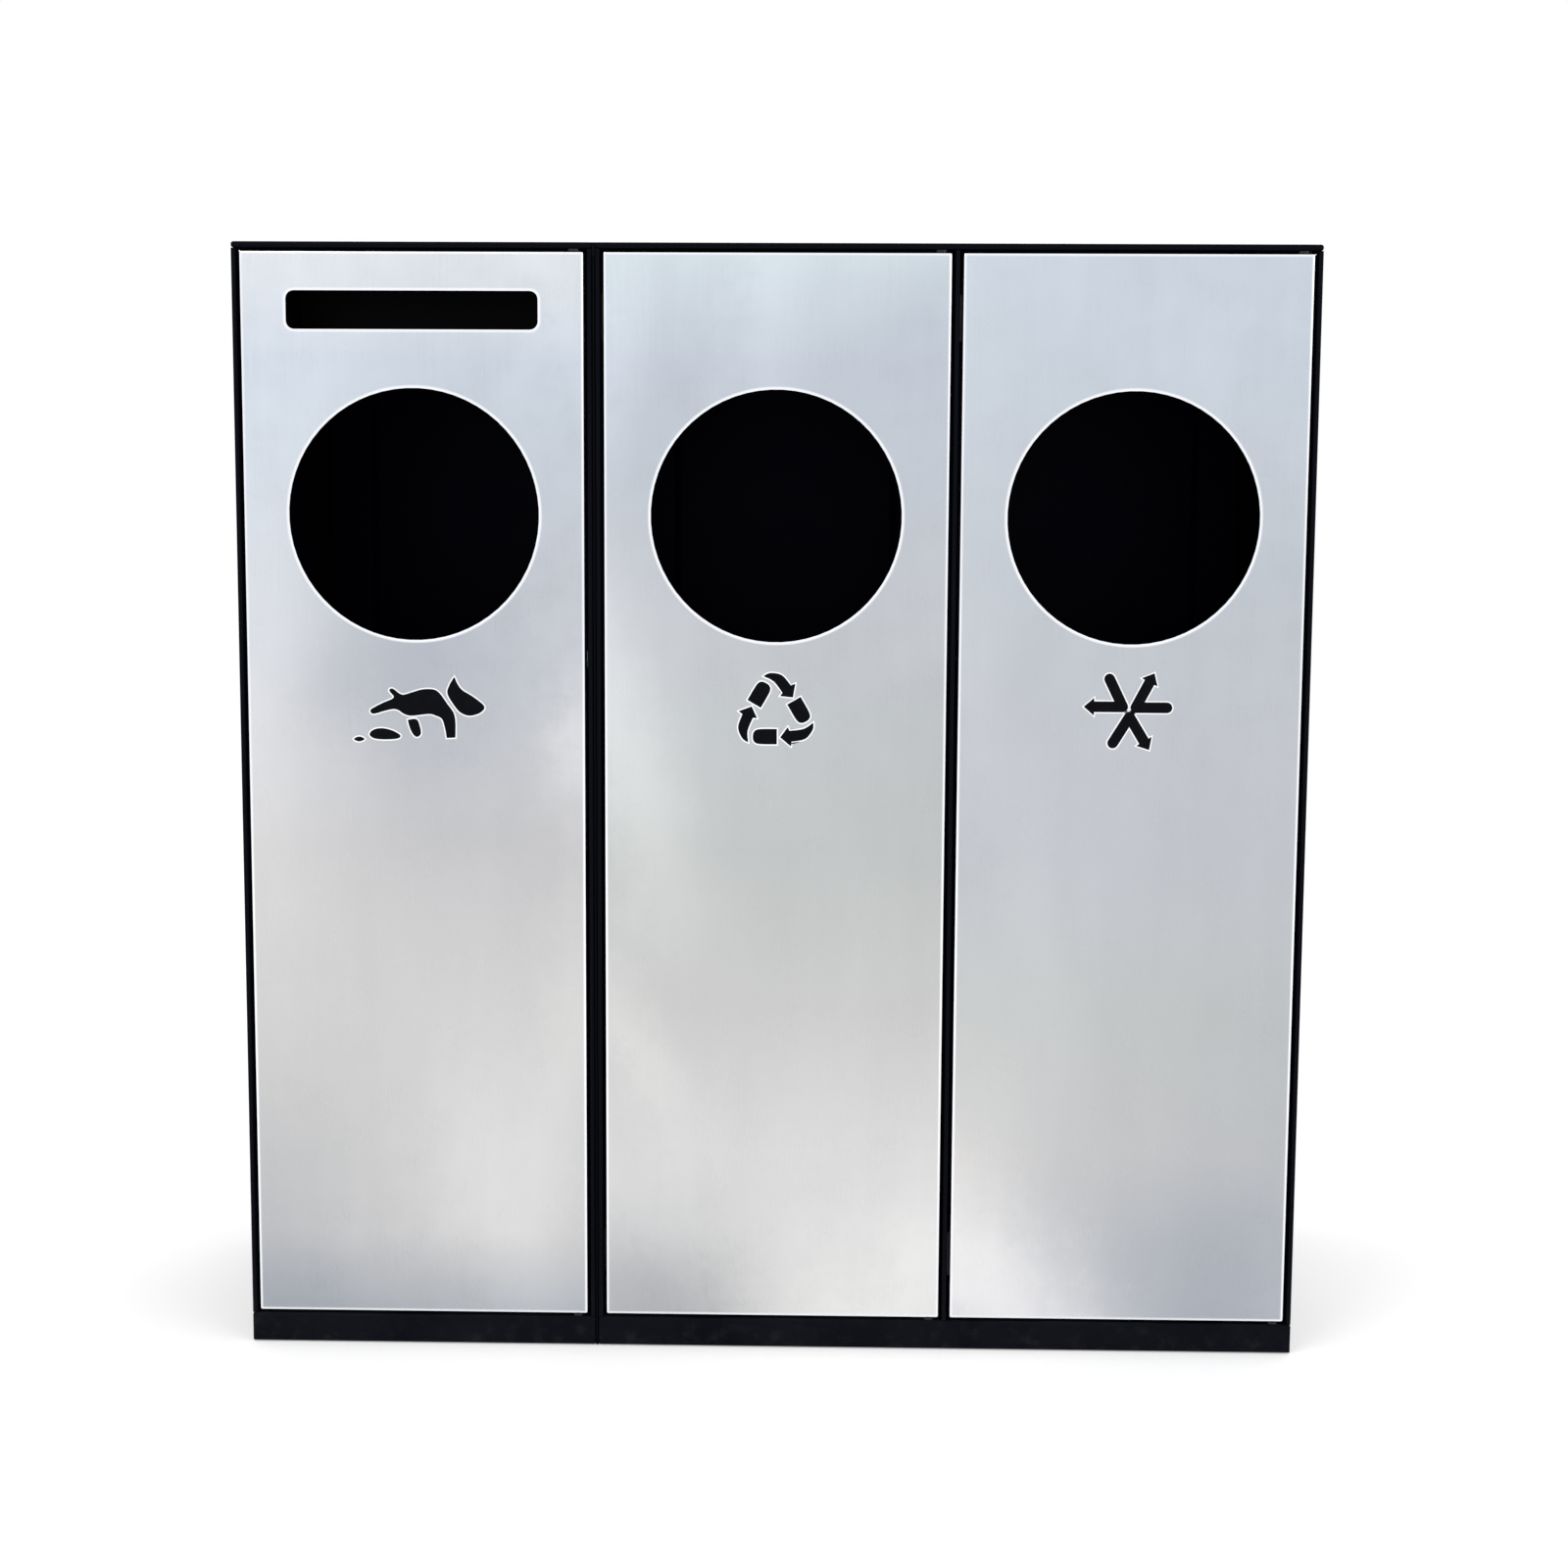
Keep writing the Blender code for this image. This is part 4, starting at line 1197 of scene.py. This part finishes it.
@dataclass(frozen=True)
class Finishes:
    """The finishes that more than one sub-assembly shares."""

    coat: bpy.types.Material = finish(PowderCoat, "black_powder_coat")
    frame_coat: bpy.types.Material = finish(PowderCoat, "door_frame_coat", srgb(9, 11, 17),
                                            srgb(9, 11, 17))
    zinc: bpy.types.Material = finish(ZincPlate, "zinc_plate")
    film: bpy.types.Material = finish(SignFilm, "sign_film")
    galvanised: bpy.types.Material = finish(GalvanisedSheet, "galvanised_sheet")
    nylon: bpy.types.Material = finish(MouldedPolymer, "bush_nylon", srgb(30, 30, 32), 0.42)
    black_steel: bpy.types.Material = finish(ZincPlate, "blackened_steel", srgb(46, 46, 50),
                                             srgb(58, 52, 46))
    magnet_case: bpy.types.Material = finish(MouldedPolymer, "magnet_case", srgb(44, 45, 48),
                                             0.38)
    rubber: bpy.types.Material = finish(MouldedPolymer, "foot_rubber", srgb(26, 26, 28), 0.7,
                                        gloss=0.2)
    seal: bpy.types.Material = finish(MouldedPolymer, "seal_rubber", srgb(7, 8, 12), 0.6,
                                      gloss=0.04)


class Head(Enum):
    """The two kinds of fixing, named by the head that shows."""

    SCREW = "screw"
    RIVET = "rivet"


# Profiles of a head from its foot up and in, as shares of its radius, or of the socket's for
# SOCKET, and of its height.
RIM = ((1.0, 0.0), (1.0, 0.25), (0.9, 0.62), (0.62, 0.9))
DOME = ((0.3, 1.0), (0.0, 1.0))
SOCKET = ((1.15, 1.0), (1.0, 0.97), (0.8, 0.45), (0.0, 0.4))


@dataclass(frozen=True)
class Fixing:
    """A pan-head screw or a dome rivet, standing on a surface."""

    name: str
    place: Vector
    axis: Vector
    head: Head
    radius: float
    height: float
    socket: float = 1.0 * MM

    def build(self, body: str, material: bpy.types.Material) -> None:
        """Make the head, with a shallow round socket where it is a screw.

        Args:
            body: the body that carries it.
            material: its finish.
        """
        mesh = bmesh.new()
        crown = (self.radius, DOME) if self.head is Head.RIVET else (self.socket, SOCKET)
        profile = [(share * width, level * self.height)
                   for width, shape in ((self.radius, RIM), crown) for share, level in shape]
        add_turned(mesh, profile, self.place, self.axis)
        add_piece(self.name, mesh, body, material)


@dataclass(frozen=True)
class DoorFront:
    """One brushed door with its inner frame, bushes, keepers, sign and fixings."""

    bay: Bay
    # Painted reflection: the door's patches and colour ramp, and the casts of its patches.
    patches: tuple[ReflectionPatch, ...]
    tones: Stops
    sign: type[Sign]
    has_slot: bool = False
    dark_cast: Colour = DARK_CAST
    light_cast: Colour = LIGHT_CAST
    inlet_radius: float = 122.5 * MM
    inlet_z: float = 838 * MM
    slot_size: Span = (245 * MM, 37 * MM)
    slot_z: float = 1035 * MM
    slot_corner: float = 8 * MM
    rivet_rows: tuple[float, ...] = (0.2, 0.36, 0.52, 0.68, 0.84)
    rivet_from_edge: float = 10 * MM
    rivet_radius: float = 2.4 * MM
    rivet_height: float = 0.7 * MM
    lug_width: float = 14.5 * MM
    lug_sheet: float = 1.5 * MM
    lug_rivet_height: float = 0.9 * MM
    screw_radius: float = 2.6 * MM
    screw_height: float = 1.3 * MM
    screw_from_end: float = 6 * MM

    def node(self, part: str) -> str:
        """Name of one of this door's nodes."""
        return f"{self.bay.value}_{part}"

    def build(self, finishes: Finishes) -> None:
        """Dress the door's nodes and add its sign and fixings.

        Args:
            finishes: the shared finishes.
        """
        low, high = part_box(self.node("door_skin"))
        centre = (low.x + high.x) / 2
        extent = (low.x, high.x, low.z, high.z, low.y)
        steel = BrushedSteel(self.node("brushed_steel"), *extent, self.openings(centre),
                             self.patches, self.tones, self.dark_cast, self.light_cast).made()
        dress(self.node("door_skin"), steel)
        dress(self.node("door_frame"), finishes.frame_coat)
        for level in Level:
            dress(self.node("pivot_bush_" + level.value), finishes.nylon)
            dress(self.node("pivot_pin_" + level.value), finishes.black_steel)
            dress(self.node("keeper_" + level.value), finishes.zinc)
            dress(self.node("magnet_" + level.value), finishes.magnet_case)
        if self.has_slot:
            dress(self.node("bag_tray"), finishes.frame_coat)
        margin = BrushedSteel(self.node("sign_margin"), *extent, (), (),
                              tone_stops((0.0, 240, 242, 245))).made()
        self.sign(self.bay, centre, low.y).build(finishes.film, margin)
        self.add_fixings(low, high, finishes)

    def openings(self, centre: float) -> tuple[Opening, ...]:
        """The door's inlet, and its slot where it has one.

        Args:
            centre: x of the door's middle.

        Returns:
            The openings.
        """
        inlet = Opening(centre, self.inlet_z, self.inlet_radius, self.inlet_radius,
                        self.inlet_radius)
        if not self.has_slot:
            return (inlet,)
        width, height = self.slot_size
        return inlet, Opening(centre, self.slot_z, width / 2, height / 2, self.slot_corner)

    def add_fixings(self, low: Vector, high: Vector, finishes: Finishes) -> None:
        """Rivets down both stiles of the inner frame, and screws in the catches.

        Args:
            low: the door's lowest corner.
            high: the door's highest corner.
            finishes: the shared finishes.
        """
        stiles = (low.x + self.rivet_from_edge, high.x - self.rivet_from_edge)
        for count, (x, share) in enumerate(product(stiles, self.rivet_rows), start=1):
            place = Vector((x, high.y, low.z + share * (high.z - low.z)))
            Fixing(f"{self.bay.door}_rivet_{count}", place, BACKWARD, Head.RIVET,
                   self.rivet_radius, self.rivet_height).build(self.bay.door, finishes.zinc)
        for level in Level:
            magnet = self.node("magnet_" + level.value)
            case_low, case_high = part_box(magnet)
            for end, z in (("a", case_low.z + self.screw_from_end),
                           ("b", case_high.z - self.screw_from_end)):
                place = Vector((case_high.x, (case_low.y + case_high.y) / 2, z))
                Fixing(f"{magnet}_screw_{end}", place, RIGHTWARD, Head.SCREW,
                       self.screw_radius, self.screw_height).build("cabinets", finishes.zinc)
        if self.has_slot:
            self.add_lug_rivets(finishes)

    def add_lug_rivets(self, finishes: Finishes) -> None:
        """Rivets that hold the bag tray's lugs to the door's frame.

        Args:
            finishes: the shared finishes.
        """
        low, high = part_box(self.node("bag_tray"))
        columns = (low.x + self.lug_width / 2, high.x - self.lug_width / 2)
        rows = (low.z + self.lug_width, high.z - self.lug_width)
        for count, (x, z) in enumerate(product(columns, rows), start=1):
            place = Vector((x, low.y + self.lug_sheet, z))
            Fixing(self.node(f"tray_rivet_{count}"), place, BACKWARD, Head.RIVET,
                   self.rivet_radius, self.lug_rivet_height).build(self.bay.door,
                                                                   finishes.zinc)


@dataclass(frozen=True)
class LinerAndBail:
    """One galvanised liner with its zinc-plated bail."""

    bay: Bay

    def build(self, finishes: Finishes) -> None:
        """Dress both nodes.

        Args:
            finishes: the shared finishes.
        """
        dress(self.bay.value + "_liner", finishes.galvanised)
        dress(self.bay.value + "_bail", finishes.zinc)


@dataclass(frozen=True)
class Carcass:
    """One folded-sheet cabinet: base, roof, walls and feet."""

    cabinet: Cabinet

    def build(self, finishes: Finishes) -> None:
        """Dress the cabinet's nodes.

        Args:
            finishes: the shared finishes.
        """
        for node in sorted(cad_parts):
            if node.startswith(self.cabinet.value + "_foot"):
                dress(node, finishes.rubber)
            elif node.startswith(self.cabinet.value + "_"):
                dress(node, finishes.coat)


@dataclass(frozen=True)
class JointSeal:
    """Rubber strips pressed into the joint between the cabinets, over the roofs and in front."""

    web_depth: float = 14 * MM
    web_clearance: float = 0.1 * MM
    head_overhang: float = 2.2 * MM
    head_depth: float = 2.4 * MM
    below_top: float = 0.3 * MM
    end_inset: float = 0.5 * MM
    front_inset: float = 1.2 * MM
    front_depth: float = 12 * MM
    nose: float = 0.9 * MM
    above_ground: float = 0.5 * MM

    def build(self, finishes: Finishes) -> None:
        """Press both strips into the joint.

        Args:
            finishes: the shared finishes.
        """
        for name, strip in (("roof_joint_seal", self.roof_strip()),
                            ("front_joint_seal", self.front_strip())):
            add_piece(name, strip, "cabinets", finishes.seal)

    def joint(self) -> tuple[float, float, float]:
        """Find the room for the strips.

        Returns:
            x of their left and right sides, and z of the roof strip's top.
        """
        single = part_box("single_roof")[1]
        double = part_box("double_roof")[0]
        return (single.x + self.web_clearance, double.x - self.web_clearance,
                single.z - self.below_top)

    def roof_strip(self) -> bmesh.types.BMesh:
        """Make the strip with a flat head that runs over the roofs from front to back.

        Returns:
            The mesh in the making.
        """
        left, right, top = self.joint()
        low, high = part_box("single_roof")
        neck, foot = top - self.head_depth, top - self.web_depth
        outline = [(left, foot), (right, foot), (right, neck), (right + self.head_overhang, top),
                   (left - self.head_overhang, top), (left, neck)]
        strip = bmesh.new()
        length = high.y - low.y - 2 * self.end_inset
        add_plate(strip, outline, low.y + self.end_inset, length)
        return strip

    def front_strip(self) -> bmesh.types.BMesh:
        """Make the strip with a rounded nose that runs down the front to the ground.

        Returns:
            The mesh in the making.
        """
        left, right, top = self.joint()
        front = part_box("single_roof")[0].y + self.front_inset
        shoulder, back = front + self.nose, front + self.front_depth
        section = [(left, back), (left, shoulder), (left + self.nose, front),
                   (right - self.nose, front), (right, shoulder), (right, back)]
        strip = bmesh.new()
        height = top - self.web_depth - self.web_clearance - self.above_ground
        add_prism(strip, [Vector((x, y, self.above_ground)) for x, y in section],
                  Vector((0, 0, height)))
        return strip


# Studio --------------------------------------------------------------------------------
@dataclass(frozen=True)
class Lamp:
    """A large soft panel lamp that faces the station."""

    name: str
    place: Place
    size: float
    power: float

    def build(self, target: Vector) -> None:
        """Hang the lamp and aim it.

        Args:
            target: the place that it faces.
        """
        data = bpy.data.lights.new(self.name, "AREA")
        data.shape = "SQUARE"
        data.size = self.size
        data.energy = self.power
        lamp = bpy.data.objects.new(self.name, data)
        lamp.location = self.place
        lamp.rotation_euler = (target - Vector(self.place)).to_track_quat("-Z", "Y").to_euler()
        bpy.context.scene.collection.objects.link(lamp)


@dataclass(frozen=True)
class Studio:
    """A plain white room: floor, soft lamps, sky and the camera.

    Yaw, pitch and roll are in degrees, and lens and sensor in millimetres.
    """

    camera_place: Place = (0.0591, -2.5306, 0.8423)
    yaw: float = -1.174
    pitch: float = -6.589
    roll: float = 0.314
    lens: float = 54.0
    sensor: float = 36.0
    floor_size: float = 60.0
    floor_tone: float = 0.86
    floor_lift: float = 0.28
    floor_scuffs: Grain = Grain(3.0, 3)
    floor_sway: float = 0.02
    floor_roughness: float = 0.8
    floor_gloss: float = 0.1
    sky_diffuse: float = 0.85
    lamps: tuple[Lamp, ...] = (
        Lamp("key_panel", (-2.6, -3.4, 3.6), 2.6, 55.0),
        Lamp("fill_panel", (3.2, -2.6, 2.6), 2.6, 25.0),
        Lamp("back_panel", (0.8, 3.4, 3.4), 2.4, 40.0))

    def build(self) -> None:
        """Make the floor, the sky, the lamps and the camera."""
        low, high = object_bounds()
        target = (Vector(low) + Vector(high)) / 2
        self.build_floor()
        self.build_sky()
        for lamp in self.lamps:
            lamp.build(target)
        self.build_camera()
        bpy.context.scene.view_settings.view_transform = "Standard"

    def build_floor(self) -> None:
        """A matt white floor that keeps the station's shadow."""
        mesh = bmesh.new()
        bmesh.ops.create_grid(mesh, x_segments=1, y_segments=1, size=self.floor_size / 2)
        graph = Graph.of_material("studio_floor")
        camera_ray = self.seen_directly(graph)
        lift = graph.mix(camera_ray, (0.0, 0.0, 0.0), (self.floor_lift,) * 3)
        gain = 1.0 - self.floor_sway / 2 + graph.noise(self.floor_scuffs).swayed(self.floor_sway)
        white = graph.surface(
            base_color=graph.gained((self.floor_tone,) * 3, gain),
            roughness=self.floor_roughness, specular_ior_level=self.floor_gloss,
            emission_color=lift, emission_strength=1.0)
        add_mesh("studio_floor", mesh, white)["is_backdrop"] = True

    @staticmethod
    def seen_directly(graph: Graph) -> Value:
        """Tell the rays that the eye follows, straight on, in a mirror or through glass.

        Args:
            graph: the material in the making.

        Returns:
            1 for such a ray, 0 for scattered light.
        """
        path = graph.node("ShaderNodeLightPath")
        camera, glossy, clear = (Value(graph, path.outputs[name]) for name in (
            "Is Camera Ray", "Is Glossy Ray", "Is Transmission Ray"))
        return camera.highest(glossy).highest(clear)

    def build_sky(self) -> None:
        """White all round to the eye and in reflections, and a softer light elsewhere."""
        world = bpy.data.worlds.new("studio_sky")
        bpy.context.scene.world = world
        graph = Graph(world)
        background = graph.tree.nodes["Background"]
        graph.feed(background.inputs["Color"], (1.0, 1.0, 1.0))
        graph.feed(background.inputs["Strength"],
                   self.seen_directly(graph) * (1.0 - self.sky_diffuse) + self.sky_diffuse)

    def build_camera(self) -> None:
        """Stand the camera in front, a little above the inlets, looking slightly down."""
        data = bpy.data.cameras.new("front_camera")
        data.lens = self.lens
        data.sensor_width = self.sensor
        camera = bpy.data.objects.new("front_camera", data)
        turn = (Matrix.Rotation(math.radians(-self.yaw), 4, "Z")
                @ Matrix.Rotation(math.radians(90 + self.pitch), 4, "X")
                @ Matrix.Rotation(math.radians(self.roll), 4, "Z"))
        camera.matrix_world = Matrix.Translation(self.camera_place) @ turn
        bpy.context.scene.collection.objects.link(camera)
        bpy.context.scene.camera = camera


# The station ---------------------------------------------------------------------------
# Each door's painted reflection: soft patches, then colours from bottom to top.
DOORS = (
    DoorFront(Bay.LEFT, (
        ReflectionPatch(-0.51, 0.70, 0.11, 0.26, -5, 0.38),
        ReflectionPatch(-0.27, 0.13, 0.07, 0.16, 15, 0.18),
        ReflectionPatch(-0.50, 0.00, 0.08, 0.23, 10, -0.15),
        ReflectionPatch(-0.41, 0.71, 0.16, 0.14, -20, -0.26),
        ReflectionPatch(-0.19, 0.62, 0.03, 0.08, 5, 0.19),
        ReflectionPatch(-0.21, 1.04, 0.03, 0.11, 20, 0.09),
        ReflectionPatch(-0.20, 0.30, 0.04, 0.25, -10, 0.11)), tone_stops(
            (0.0, 173, 177, 183), (0.03, 181, 183, 187),
            (0.08, 196, 196, 197), (0.3, 195, 195, 195),
            (0.45, 190, 190, 192), (0.58, 197, 199, 204),
            (0.7, 197, 201, 208), (0.8, 195, 202, 211),
            (0.9, 199, 207, 218), (1.0, 217, 221, 226)),
        DogSign, has_slot=True),
    DoorFront(Bay.MIDDLE, (
        ReflectionPatch(0.11, 0.02, 0.09, 0.18, -60, 0.30),
        ReflectionPatch(-0.18, 0.66, 0.06, 0.22, 20, 0.35),
        ReflectionPatch(-0.11, 0.03, 0.07, 0.12, 50, -0.28),
        ReflectionPatch(-0.15, 1.00, 0.03, 0.10, -5, 0.16),
        ReflectionPatch(-0.15, 0.34, 0.03, 0.12, 30, 0.15),
        ReflectionPatch(-0.01, 1.02, 0.04, 0.12, -5, 0.10),
        ReflectionPatch(0.16, 1.04, 0.04, 0.08, -40, -0.08)), tone_stops(
            (0.0, 204, 204, 204), (0.08, 210, 210, 210),
            (0.16, 208, 208, 208), (0.3, 191, 191, 191),
            (0.45, 184, 187, 187), (0.58, 187, 191, 194),
            (0.7, 193, 196, 202), (0.8, 191, 198, 207),
            (0.9, 193, 200, 211), (1.0, 208, 218, 225)),
        LoopSign, dark_cast=(1.05, 1.0, 0.88)),
    DoorFront(Bay.RIGHT, (
        ReflectionPatch(0.17, 0.14, 0.13, 0.26, 5, 0.19),
        ReflectionPatch(0.23, 0.05, 0.08, 0.23, 45, 0.59),
        ReflectionPatch(0.46, 0.06, 0.09, 0.26, -15, -0.12),
        ReflectionPatch(0.21, 0.62, 0.04, 0.26, 15, 0.07),
        ReflectionPatch(0.20, 1.12, 0.09, 0.26, -5, 0.08)), tone_stops(
            (0.0, 177, 180, 187), (0.08, 176, 179, 184),
            (0.16, 184, 185, 187), (0.3, 182, 185, 186),
            (0.45, 184, 187, 193), (0.58, 189, 192, 199),
            (0.7, 191, 197, 204), (0.8, 197, 203, 212),
            (0.9, 198, 207, 217), (1.0, 198, 207, 218)),
        ArrowSign, light_cast=(1.11, 1.0, 0.86)))


def main() -> None:
    """Build the station's finishes and pieces, and the studio."""
    logging.basicConfig(level=logging.INFO, format="%(message)s")
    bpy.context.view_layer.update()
    finishes = Finishes()
    for cabinet in Cabinet:
        Carcass(cabinet).build(finishes)
    for link in ("link_bolt_lower", "link_bolt_upper"):
        dress(link, finishes.zinc)
    JointSeal().build(finishes)
    for door in DOORS:
        door.build(finishes)
    for bay in Bay:
        LinerAndBail(bay).build(finishes)
    Studio().build()


if __name__ == "__main__":
    main()
